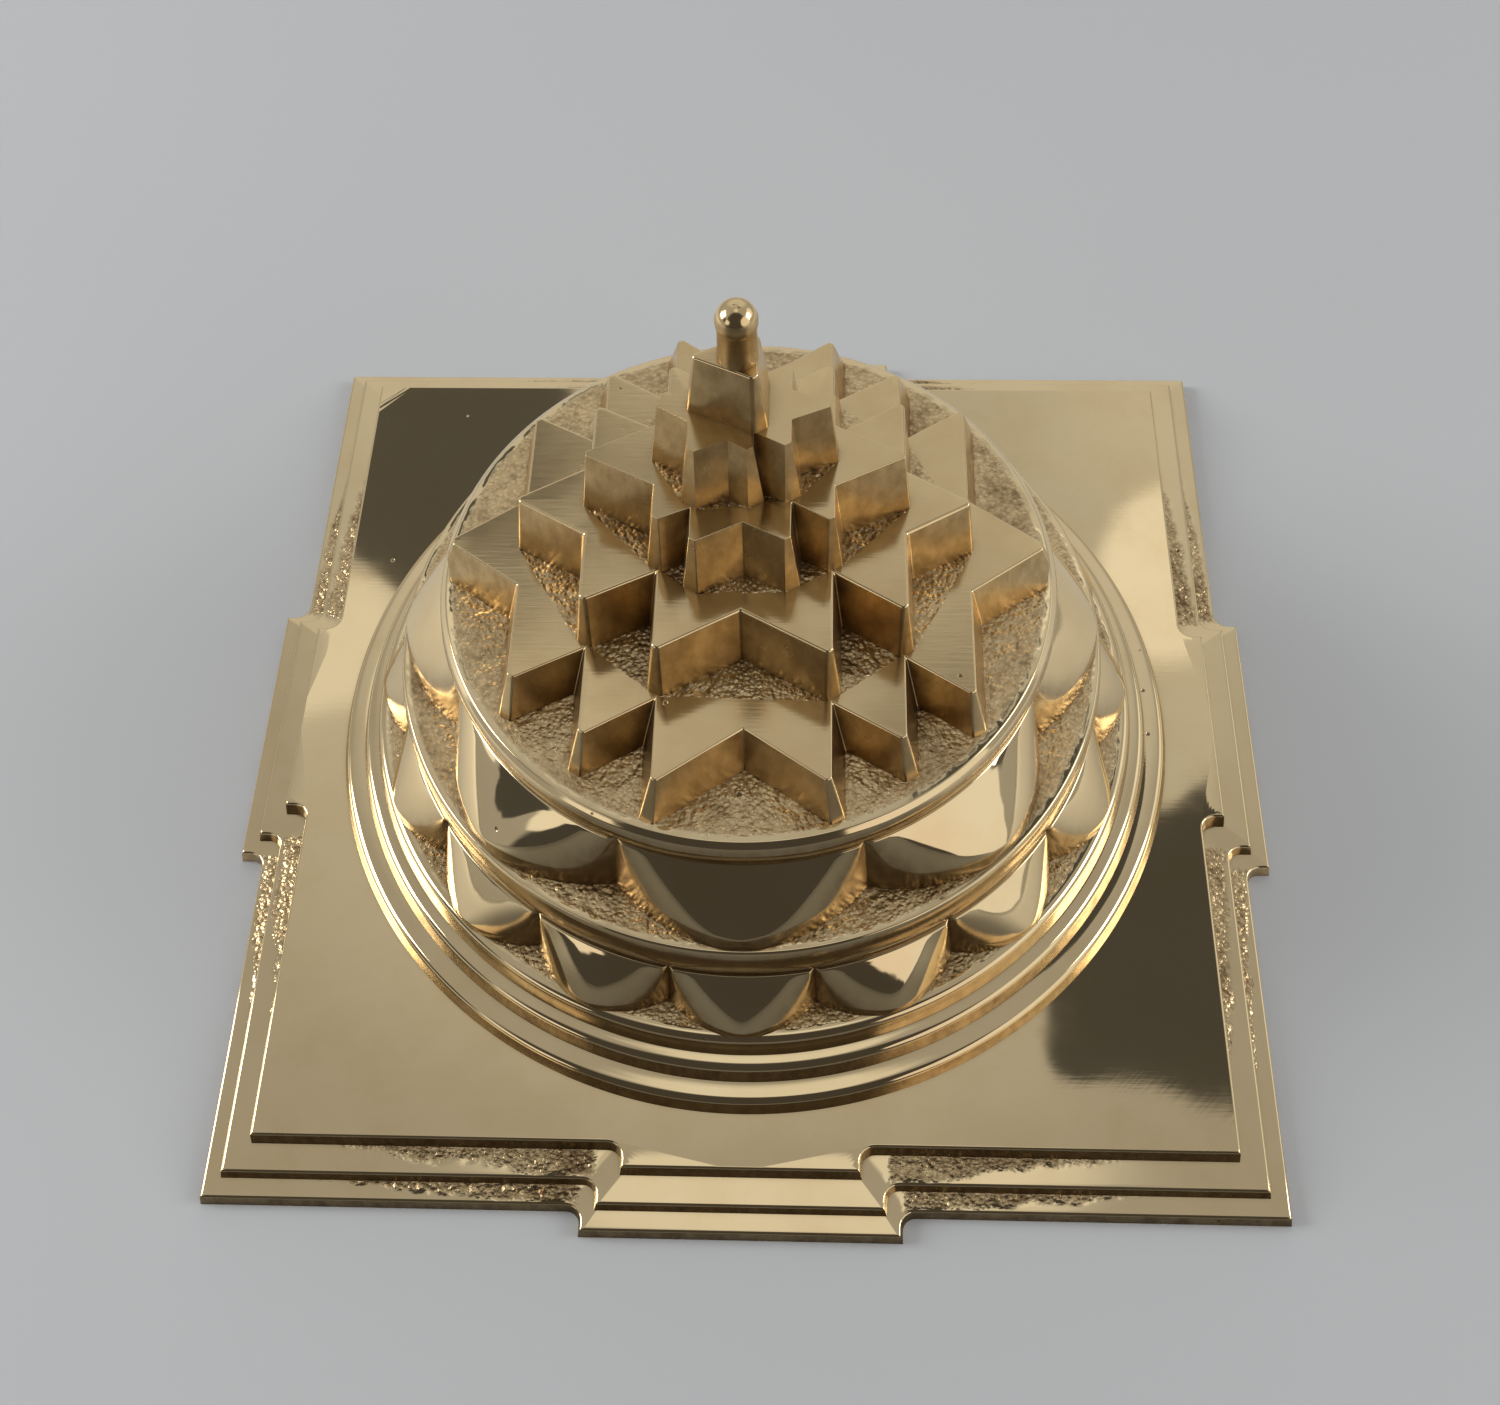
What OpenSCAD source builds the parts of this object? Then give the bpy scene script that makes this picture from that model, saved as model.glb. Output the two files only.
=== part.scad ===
// Meru shri yantra: a brass yantra raised in tiers over a square base with four gates.
// Origin at the middle of the underside, +Z up. The yantra's own "up" points along +X.

/* [Base plates] */
// Side of the lowest square plate
base_side = 100; // [97:0.5:112]
// Thickness of the lowest plate
plate_low_t = 1.7; // [1.5:0.1:3]
// Thickness of the middle plate
plate_mid_t = 1.6; // [1:0.1:3]
// Thickness of the top plate
plate_top_t = 1.8; // [1:0.1:3]
// Ledge left between the lowest and the middle plate
ledge_low = 2; // [1:0.1:3]
// Ledge left between the middle and the top plate
ledge_mid = 2.8; // [1.5:0.1:4]
// Width of a gate on the lowest plate
gate_low_w = 29.6; // [27.6:0.2:36]
// Width of a gate on the middle plate
gate_mid_w = 26.6; // [23:0.2:28.6]
// Width of a gate on the top plate
gate_top_w = 22; // [16:0.2:25.4]
// How far a gate stands out from the side of its plate
gate_out = 2.3; // [1.8:0.1:4]
// Radius of the corner where a gate leaves the side
gate_fillet = 1.2; // [0.4:0.1:1.6]

/* [Three rings] */
// Diameter of the lowest ring at its foot
ring_low_d = 84.4; // [81:0.2:88]
// Diameter of the middle ring at its foot
ring_mid_d = 79.6; // [77:0.2:82]
// Diameter of the top ring at its foot
ring_top_d = 76; // [75.6:0.2:78]
// Height of the lowest ring
ring_low_h = 1.9; // [1:0.1:3]
// Height of the middle ring
ring_mid_h = 2.1; // [1:0.1:3]
// Height of the top ring
ring_top_h = 2.2; // [1:0.1:3]
// How far a ring's wall leans in from foot to top
ring_batter = 0.35; // [0:0.05:0.5]

/* [Lotus of sixteen] */
// Number of petals in the lower lotus
petals_low = 16; // [12:1:20]
// Diameter over the petal tips of the lower lotus
lotus_low_tip_d = 74.4; // [72:0.2:74.6]
// Diameter of the lower drum between its petals
lotus_low_d = 67.4; // [66.8:0.2:68.4]
// Height of the lower lotus
lotus_low_h = 5.4; // [4:0.1:7]
// Diameter of the rim over the lower lotus
rim_low_d = 66.6; // [65.8:0.2:67.2]
// Height of the rim over the lower lotus
rim_low_h = 4.4; // [2:0.1:6]

/* [Lotus of eight] */
// Number of petals in the upper lotus
petals_high = 8; // [6:1:12]
// Diameter over the petal tips of the upper lotus
lotus_high_tip_d = 65.8; // [64:0.2:66.4]
// Diameter of the upper drum between its petals
lotus_high_d = 56.4; // [55.8:0.2:57.4]
// Height of the upper lotus
lotus_high_h = 6.7; // [5:0.1:9]
// Diameter of the rim over the upper lotus
rim_high_d = 55.4; // [55:0.2:56.2]
// Height of the rim over the upper lotus, up to the floor of the stars
rim_high_h = 3.2; // [2:0.1:5]

/* [Petals and rims] */
// Thickness of a lower petal at its tip
petal_low_t = 0.8; // [0.4:0.1:1.2]
// Thickness of an upper petal at its tip
petal_high_t = 1.9; // [0.8:0.1:2.4]
// Width of a petal's blunt tip
petal_blunt = 0.4; // [0.2:0.05:0.8]
// Radius of a petal's edge, as a share of the edge's length
petal_round = 1.25; // [1.05:0.05:2]
// Lean of the wall under a petal's edge
petal_lean = 9; // [2:0.5:12]
// Radius of the arch across a petal's face, as a share of the petal's width
petal_arch = 0.95; // [0.85:0.05:1.4]
// How far the petals' top stands out from the drum
petal_ledge = 0.45; // [0.4:0.05:0.6]
// How deep the petals' edges run into the drum
petal_root = 0.5; // [0.4:0.05:0.6]
// How far the lower rim's band swells between its edges
rim_low_swell = 0.35; // [0.1:0.05:0.5]
// How far the upper rim's band swells between its edges
rim_high_swell = 0.6; // [0.2:0.05:0.8]

/* [Stars] */
// Diameter of the circle that the nine triangles are drawn in
star_d = 53.6; // [49:0.2:54]
// Height of the star of fourteen points
star_14_h = 4.5; // [3:0.1:6]
// Height of the outer star of ten points
star_10_outer_h = 6.2; // [4:0.1:8]
// Height of the inner star of ten points
star_10_inner_h = 6.2; // [4:0.1:8]
// Height of the star of eight points
star_8_h = 6.3; // [4:0.1:8]
// Height of the central triangle
triangle_h = 5.7; // [3:0.1:7]
// Width across the outer star of ten, as a share of the drawn width
star_10_outer_share = 0.96; // [0.9:0.01:1]
// Width across the inner star of ten, as a share of the drawn width
star_10_inner_share = 0.9; // [0.86:0.01:0.94]
// Width across the star of eight, as a share of the drawn width
star_8_share = 0.83; // [0.82:0.01:0.88]
// Width of the central triangle along its base
triangle_w = 5.2; // [4.8:0.1:5.3]
// How far the central triangle's base stands past its line
triangle_out = 0.5; // [0.2:0.1:0.6]
// Lean of the lowest star's walls
lean_low = 15; // [2:0.5:18]
// Lean of the walls of the other stars
lean_high = 7; // [1:0.5:8]
// How far the star points are blunted
point_trim = 0.5; // [0.3:0.05:0.8]
// Lean of the lowest star's blunted points
point_lean_low = 22; // [5:0.5:26]
// Lean of the blunted points of the other stars
point_lean_high = 7; // [0:0.5:8]
// Floor left clear between the lowest star and the edge of the rim
star_edge = 0.5; // [0.2:0.1:1.5]

/* [Bindu and tie bar] */
// Diameter of the bindu's ball
bindu_ball_d = 3.4; // [3.3:0.1:4.2]
// Height of the bindu over the triangle
bindu_h = 5.6; // [4.4:0.1:9]
// Diameter of the bindu's stem at its foot
stem_foot_d = 3.3; // [2.6:0.1:3.3]
// Diameter of the bindu's stem under the ball
stem_neck_d = 3.1; // [2.4:0.1:3.2]
// Diameter of the tang that holds the bindu in the tie bar
tang_d = 1.6; // [1:0.1:1.8]
// Length of the tang inside the tie bar
tang_grip = 5; // [2:0.5:12]
// Side of the square tie bar
tie_w = 5; // [4:0.1:5.4]
// Diameter of the tie bar's riveted foot
foot_d = 10; // [8.5:0.1:16]
// Thickness of the tie bar's riveted foot
foot_t = 0.8; // [0.5:0.1:1]
// Metal left between the tie bar and the top of the eight pointed star
roof_t = 1.6; // [1:0.1:3]
// Gap round the tie bar, its foot and the tang
fit_gap = 0.1; // [0.05:0.01:0.2]

/* [Hidden] */
$fn = 96;

polished = "#d2b478";
cast_skin = "#b89a62";
bar_brass = "#a98a4e";

// The foot of the tie bar stays this far above the table
foot_rise = 0.2;
// Soft edge turned on every ring and disc
edge_break = 0.25;
// Reach of a cutting block, larger than any tier
reach = 200;
// Overlap that makes a cut pass clean through a face
over = 1;
// Swell of a lotus before its petals are arched, as a share of the petals' length
lotus_swell = 0.13;
// Angle left between the arching cuts of two petals
arch_apart = 1;

// Heights of the seats, from the table up
z_plate_mid = plate_low_t;
z_plate_top = z_plate_mid + plate_mid_t;
z_ring_low = z_plate_top + plate_top_t;
z_ring_mid = z_ring_low + ring_low_h;
z_ring_top = z_ring_mid + ring_mid_h;
z_lotus_low = z_ring_top + ring_top_h;
z_rim_low = z_lotus_low + lotus_low_h;
z_lotus_high = z_rim_low + rim_low_h;
z_rim_high = z_lotus_high + lotus_high_h;
z_star_14 = z_rim_high + rim_high_h;
z_star_10_outer = z_star_14 + star_14_h;
z_star_10_inner = z_star_10_outer + star_10_outer_h;
z_star_8 = z_star_10_inner + star_10_inner_h;
z_triangle = z_star_8 + star_8_h;
z_bindu = z_triangle + triangle_h;

// The tie bar's two ends
foot_seat = foot_rise + foot_t;
tie_top = z_triangle - roof_t - fit_gap;

// The nine lines of the yantra: the circle's diameter is divided into 48 parts, the lines cross it
// at these marks, counted from the top, and each is cut short at both ends by the parts below.
line_marks = [6.2, 11.5, 17.1, 20.3, 23, 27.7, 30.5, 36.2, 42];
line_cuts = [2, 2.4, 1.2, 14.7, 18.6, 14.5, 1.1, 2.7, 2.8];
part = star_d / 48;
circle_r = star_d / 2;

// Place of line i along the yantra's axis, and half its length
function line_x(i) = circle_r - line_marks[i - 1] * part;
function line_half(i) = sqrt(circle_r * circle_r - line_x(i) * line_x(i)) - line_cuts[i - 1] * part;

// The nine triangles, each as [base line, place of its apex]; five point down and four point up.
down_1 = [1, line_x(6)];
down_2 = [2, line_x(9)];
down_3 = [3, -circle_r];
down_4 = [4, line_x(8)];
down_5 = [5, line_x(7)];
up_6 = [6, line_x(2)];
up_7 = [7, circle_r];
up_8 = [8, line_x(1)];
up_9 = [9, line_x(3)];

// Half width of a triangle where line i crosses it
function half_at(tri, i) =
    line_half(tri[0]) * (line_x(i) - tri[1]) / (line_x(tri[0]) - tri[1]);

// A triangle cut down to the part between its apex and line i, as [base, half width, apex]
function cut_at(tri, i) = [line_x(i), half_at(tri, i), tri[1]];
function whole(tri) = cut_at(tri, tri[0]);

// Radius of the circle inside a triangle
function inner_r(t) =
    let (rise = abs(t[0] - t[2]), side = norm([rise, t[1]]))
    t[1] * rise / (t[1] + side);

// The triangles that make each tier
tri_14 = [whole(down_1), whole(down_2), whole(down_3), whole(up_7), whole(up_8), whole(up_9)];
tri_10_outer = [cut_at(up_8, 7), cut_at(down_2, 3), cut_at(down_1, 2), cut_at(up_9, 8)];
tri_10_inner = [whole(up_6), whole(down_4), cut_at(down_1, 3), cut_at(up_9, 7)];
tri_8 = [cut_at(up_9, 6), cut_at(down_1, 4), whole(down_5)];
tri_centre = [line_x(5) + triangle_out, triangle_w / 2, line_x(6)];

// The bindu stands at the centre of the circle inside the central triangle
bindu_x = tri_centre[0] - inner_r(tri_centre);

// The first petal of each lotus faces the front
front = -90;

// Radius and centre of the arc that joins two points and bows to the right of the way between them
function arc_r(a, b, bow) =
    let (chord = norm(b - a), sag = bow * chord)
    (chord * chord / 4 + sag * sag) / (2 * sag);
function arc_centre(a, b, bow) =
    let (chord = norm(b - a), way = (b - a) / chord, right = [way.y, -way.x])
    (a + b) / 2 - right * (arc_r(a, b, bow) - bow * chord);

// Point that lies ra from a and rb from b, to the left of the way from a to b
function meet(a, ra, b, rb) =
    let (gap = norm(b - a), way = (b - a) / gap, left = [-way.y, way.x],
         along = (gap * gap + ra * ra - rb * rb) / (2 * gap))
    a + way * along + left * sqrt(ra * ra - along * along);

// Square hole for the tie bar, from below a tier up to a given height
module tie_hole(top = reach) {
    side = tie_w + 2 * fit_gap;
    translate([-side / 2, -side / 2, -over])
        cube([side, side, top + over]);
}

// Round hole for the bindu's tang
module tang_hole() {
    translate([bindu_x, 0, -over])
        cylinder(d = tang_d + 2 * fit_gap, h = reach);
}

// Outline of a base plate: a square with a gate at the middle of each side
module plate_outline(side, gate_w) {
    long = side + 2 * gate_out;
    square(side, center = true);
    square([gate_w, long], center = true);
    square([long, gate_w], center = true);
    for (turn = [0 : 90 : 270], flip = [0, 1])
        rotate(turn) mirror([flip, 0])
            translate([gate_w / 2, side / 2])
                difference() {
                    square(gate_fillet);
                    translate([gate_fillet, gate_fillet]) circle(gate_fillet);
                }
}

module plate(side, gate_w, thick) {
    difference() {
        linear_extrude(thick) plate_outline(side, gate_w);
        tie_hole();
    }
}

// A turned disc whose wall leans in and whose top edge is broken
module ring(d, h) {
    top_r = d / 2 - ring_batter;
    difference() {
        rotate_extrude()
            polygon([[0, 0], [d / 2, 0], [top_r, h - edge_break], [top_r - edge_break, h], [0, h]]);
        tie_hole();
    }
}

// A turned disc whose wall swells between its two edges
module rim(d, h, swell) {
    foot = [d / 2, 0];
    top = [d / 2, h];
    difference() {
        rotate_extrude() {
            square([d / 2 - swell, h]);
            intersection() {
                square([d / 2 + 2 * swell, h]);
                translate(arc_centre(foot, top, swell / h)) circle(arc_r(foot, top, swell / h));
            }
        }
        tie_hole();
    }
}

// Section of a lotus: a flat topped body whose side swells out and down to the petal tips
module lotus_section(tip_r, top_r, tip_t, h) {
    tip = [tip_r, tip_t];
    top = [top_r, h];
    square([top_r - tip_t, h]);
    intersection() {
        square([tip_r, h]);
        translate(arc_centre(tip, top, lotus_swell)) circle(arc_r(tip, top, lotus_swell));
    }
}

// Round body inside a petal's curved, leaning edge; it runs past the lotus above and below
module petal_body(r, h) {
    slope = tan(petal_lean);
    translate([0, 0, -over])
        cylinder(r1 = r + (h + over) * slope, r2 = r - over * slope, h = h + 2 * over);
}

// The hollow between two petals: what is left outside the edges of both
module valley(count, tip_r, drum_r, tip_t, h) {
    half = 180 / count;
    tip = [0, tip_r];
    cusp = (drum_r - petal_root) * [sin(half), cos(half)];
    edge_r = petal_round * norm(tip - cusp);
    centre = meet(cusp, edge_r, tip, edge_r + (h - tip_t) * tan(petal_lean));
    spread = tan(half - asin(petal_blunt / 2 / tip_r));
    far = tip_r + over;
    difference() {
        translate([0, 0, -over / 2]) linear_extrude(h + over)
            polygon([[-drum_r * spread, drum_r], [drum_r * spread, drum_r],
                     [far * spread, far], [-far * spread, far]]);
        rotate(half) translate(centre) petal_body(edge_r, h);
        rotate(-half) translate([-centre.x, centre.y]) petal_body(edge_r, h);
    }
}

// What is taken off over a petal, so that its face is an arch that falls from the drum to the tip
module arch_cut(count, tip_r, drum_r, tip_t, h) {
    half = 180 / count;
    top_r = drum_r + petal_ledge;
    spread = tan(half - arch_apart / 2);
    arch_r = petal_arch * 2 * drum_r * sin(half);
    fall = atan2(h - tip_t, tip_r - top_r);
    far = tip_r + over;
    difference() {
        translate([0, 0, -over / 2]) linear_extrude(h + over)
            polygon([[0, 0], [far * spread, far], [-far * spread, far]]);
        translate([0, 0, -over]) cylinder(r = top_r, h = h + 2 * over);
        translate([0, tip_r, tip_t]) rotate([-90 - fall, 0, 0]) translate([0, arch_r, 0])
            cylinder(r = arch_r, h = reach, center = true);
    }
}

module lotus(count, tip_d, drum_d, tip_t, h) {
    step = 360 / count;
    difference() {
        rotate_extrude()
            lotus_section(tip_d / 2, drum_d / 2 + 2 * petal_ledge, tip_t + petal_ledge, h);
        for (i = [0 : count - 1])
            rotate(front - 90 + (i + 0.5) * step)
                valley(count, tip_d / 2, drum_d / 2, tip_t, h);
        for (i = [0 : count - 1])
            rotate(front - 90 + i * step)
                arch_cut(count, tip_d / 2, drum_d / 2, tip_t, h);
        tie_hole();
    }
}

// Block that ends in a flat wall: the wall faces a given way, passes through a point of the tier's
// top and leans out below it
module lean_block(point, facing, lean, h) {
    translate([point.x, point.y, h]) rotate([0, -lean, facing])
        translate([-reach, -reach / 2, -reach / 2]) cube(reach);
}

// A raised triangle with leaning walls and blunted points
module raised_triangle(t, h, lean, point_lean, share = 1) {
    base = t[0];
    half = t[1] * share;
    apex = t[2];
    down = base > apex;
    wall = atan2(abs(base - apex), down ? -half : half);
    middle = inner_r([base, half, apex]);
    corner = atan2(half, down ? middle : -middle);
    setback = point_trim * [cos(corner), sin(corner)];
    intersection() {
        translate([-reach / 2, -reach / 2, 0]) cube([reach, reach, h]);
        lean_block([base, 0], down ? 0 : 180, lean, h);
        lean_block([apex, 0], wall, lean, h);
        lean_block([apex, 0], -wall, lean, h);
        lean_block([base - setback.x, half - setback.y], corner, point_lean, h);
        lean_block([base - setback.x, setback.y - half], -corner, point_lean, h);
        lean_block([apex + (down ? point_trim : -point_trim), 0], down ? 180 : 0, point_lean, h);
    }
}

module star(triangles, h, share) {
    for (t = triangles)
        raised_triangle(t, h, lean_high, point_lean_high, share);
}

module bhupura_low() {
    color(polished)
        difference() {
            plate(base_side, gate_low_w, plate_low_t);
            translate([0, 0, -over]) cylinder(d = foot_d + 2 * fit_gap, h = foot_seat + over);
        }
}

module bhupura_mid() {
    color(polished) translate([0, 0, z_plate_mid])
        plate(base_side - 2 * ledge_low, gate_mid_w, plate_mid_t);
}

module bhupura_top() {
    color(polished) translate([0, 0, z_plate_top])
        plate(base_side - 2 * ledge_low - 2 * ledge_mid, gate_top_w, plate_top_t);
}

module ring_low() {
    color(polished) translate([0, 0, z_ring_low]) ring(ring_low_d, ring_low_h);
}

module ring_mid() {
    color(polished) translate([0, 0, z_ring_mid]) ring(ring_mid_d, ring_mid_h);
}

module ring_top() {
    color(cast_skin) translate([0, 0, z_ring_top]) ring(ring_top_d, ring_top_h);
}

module lotus_sixteen() {
    color(polished) translate([0, 0, z_lotus_low])
        lotus(petals_low, lotus_low_tip_d, lotus_low_d, petal_low_t, lotus_low_h);
}

module rim_low() {
    color(cast_skin) translate([0, 0, z_rim_low]) rim(rim_low_d, rim_low_h, rim_low_swell);
}

module lotus_eight() {
    color(polished) translate([0, 0, z_lotus_high])
        lotus(petals_high, lotus_high_tip_d, lotus_high_d, petal_high_t, lotus_high_h);
}

module rim_high() {
    color(cast_skin) translate([0, 0, z_rim_high]) rim(rim_high_d, rim_high_h, rim_high_swell);
}

module star_fourteen() {
    color(polished) translate([0, 0, z_star_14])
        difference() {
            intersection() {
                union()
                    for (t = tri_14)
                        raised_triangle(t, star_14_h, lean_low, point_lean_low);
                cylinder(d = rim_high_d - 2 * star_edge, h = star_14_h);
            }
            tie_hole();
        }
}

module star_ten_outer() {
    color(polished) translate([0, 0, z_star_10_outer])
        difference() {
            star(tri_10_outer, star_10_outer_h, star_10_outer_share);
            tie_hole();
        }
}

module star_ten_inner() {
    color(polished) translate([0, 0, z_star_10_inner])
        difference() {
            star(tri_10_inner, star_10_inner_h, star_10_inner_share);
            tie_hole();
        }
}

module star_eight() {
    color(polished) translate([0, 0, z_star_8])
        difference() {
            star(tri_8, star_8_h, star_8_share);
            tie_hole(star_8_h - roof_t);
            tang_hole();
        }
}

module triangle() {
    color(polished) translate([0, 0, z_triangle])
        difference() {
            raised_triangle(tri_centre, triangle_h, lean_high, point_lean_high);
            tang_hole();
        }
}

module bindu() {
    ball_z = bindu_h - bindu_ball_d / 2;
    tang_l = z_bindu - tie_top + tang_grip;
    color(polished) translate([bindu_x, 0, z_bindu]) {
        translate([0, 0, ball_z]) sphere(d = bindu_ball_d);
        cylinder(d1 = stem_foot_d, d2 = stem_neck_d, h = ball_z);
        translate([0, 0, -tang_l]) cylinder(d = tang_d, h = tang_l + over);
    }
}

module tie_bar() {
    color(bar_brass)
        difference() {
            union() {
                translate([-tie_w / 2, -tie_w / 2, foot_rise])
                    cube([tie_w, tie_w, tie_top - foot_rise]);
                translate([0, 0, foot_rise]) cylinder(d = foot_d, h = foot_t);
            }
            translate([bindu_x, 0, tie_top - tang_grip - fit_gap])
                cylinder(d = tang_d + 2 * fit_gap, h = reach);
        }
}

bhupura_low();
bhupura_mid();
bhupura_top();
ring_low();
ring_mid();
ring_top();
lotus_sixteen();
rim_low();
lotus_eight();
rim_high();
star_fourteen();
star_ten_outer();
star_ten_inner();
star_eight();
triangle();
bindu();
tie_bar();
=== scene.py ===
"""A brass meru shri yantra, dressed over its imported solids.

Lengths in the classes are in millimetres, in the frame of the solids: origin at the middle of
the underside, +Z up, front towards -Y. Meshes are written in metres.
"""

from __future__ import annotations

import logging
import math
from collections.abc import Callable, Iterable, Mapping, Sequence
from dataclasses import dataclass, field
from enum import Enum

import bmesh
import bpy
from mathutils import Matrix, Vector
from mathutils.noise import noise

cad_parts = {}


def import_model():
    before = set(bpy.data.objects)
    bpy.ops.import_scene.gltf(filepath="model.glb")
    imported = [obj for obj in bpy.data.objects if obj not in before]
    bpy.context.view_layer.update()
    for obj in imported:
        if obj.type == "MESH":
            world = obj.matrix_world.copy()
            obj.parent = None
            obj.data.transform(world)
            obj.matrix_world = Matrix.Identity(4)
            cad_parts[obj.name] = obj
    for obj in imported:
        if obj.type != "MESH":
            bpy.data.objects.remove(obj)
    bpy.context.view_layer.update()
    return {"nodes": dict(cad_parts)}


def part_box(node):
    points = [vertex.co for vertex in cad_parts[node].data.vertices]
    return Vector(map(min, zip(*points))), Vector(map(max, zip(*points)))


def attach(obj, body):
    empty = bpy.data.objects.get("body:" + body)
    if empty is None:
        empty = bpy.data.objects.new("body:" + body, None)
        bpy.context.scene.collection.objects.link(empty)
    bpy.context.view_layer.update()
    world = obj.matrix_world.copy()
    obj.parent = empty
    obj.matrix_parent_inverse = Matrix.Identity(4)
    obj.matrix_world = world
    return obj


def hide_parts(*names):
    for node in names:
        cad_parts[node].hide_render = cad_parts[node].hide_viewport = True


LOG = logging.getLogger("meru")
MM = 0.001

Colour = tuple[float, float, float]
Point = tuple[float, float]


class Body(Enum):
    """Bodies that a piece can ride on."""

    ROOT = "root"


class Slot(Enum):
    """Material slots of the record."""

    POLISHED = "polished_brass"
    CAST = "cast_brass"
    BAR = "bar_brass"


class Edge(Enum):
    """How an edge of a solid is treated when its edges are softened."""

    SOFT = "soft"
    KEPT = "kept"


class Value:
    """A value socket that takes part in Python arithmetic."""

    def __init__(self, graph: Graph, socket: bpy.types.NodeSocket) -> None:
        """Keep the graph and the socket."""
        self.graph = graph
        self.socket = socket

    def _math(self, operation: str, first: object, second: object = 0.0) -> Value:
        """Add one Math node.

        Args:
            operation: Name of the operation.
            first: First number or value.
            second: Second number or value.

        Returns:
            The node's result.
        """
        return self.graph.value("ShaderNodeMath", {"operation": operation}, {0: first, 1: second})

    def __add__(self, other: object) -> Value:
        """Return self + other."""
        return self._math("ADD", self, other)

    def __radd__(self, other: object) -> Value:
        """Return other + self."""
        return self._math("ADD", other, self)

    def __sub__(self, other: object) -> Value:
        """Return self - other."""
        return self._math("SUBTRACT", self, other)

    def __rsub__(self, other: object) -> Value:
        """Return other - self."""
        return self._math("SUBTRACT", other, self)

    def __mul__(self, other: object) -> Value:
        """Return self * other."""
        return self._math("MULTIPLY", self, other)

    def __rmul__(self, other: object) -> Value:
        """Return other * self."""
        return self._math("MULTIPLY", other, self)

    def __truediv__(self, other: object) -> Value:
        """Return self / other."""
        return self._math("DIVIDE", self, other)

    def __rtruediv__(self, other: object) -> Value:
        """Return other / self."""
        return self._math("DIVIDE", other, self)

    def __mod__(self, other: object) -> Value:
        """Return self modulo other."""
        return self._math("FLOORED_MODULO", self, other)

    def __abs__(self) -> Value:
        """Return the size of self."""
        return self._math("ABSOLUTE", self)

    def floor(self) -> Value:
        """Return self rounded down."""
        return self._math("FLOOR", self)

    def cos(self) -> Value:
        """Return the cosine of self."""
        return self._math("COSINE", self)

    def sin(self) -> Value:
        """Return the sine of self."""
        return self._math("SINE", self)

    def larger(self, other: object) -> Value:
        """Return the larger of self and other."""
        return self._math("MAXIMUM", self, other)

    def step(self, low: float, high: float) -> Value:
        """Return a smooth step from 0 at low to 1 at high.

        Args:
            low: Where the step starts.
            high: Where the step ends.

        Returns:
            The stepped value.
        """
        settings = {"interpolation_type": "SMOOTHSTEP", "clamp": True}
        return self.graph.value("ShaderNodeMapRange", settings, {0: self, 1: low, 2: high})

    def toward(self, other: object, share: object) -> Value:
        """Return self moved to other by a share.

        Args:
            other: Number or value at a share of 1.
            share: How far to move.

        Returns:
            The mixed value.
        """
        return self + (other - self) * share


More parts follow.
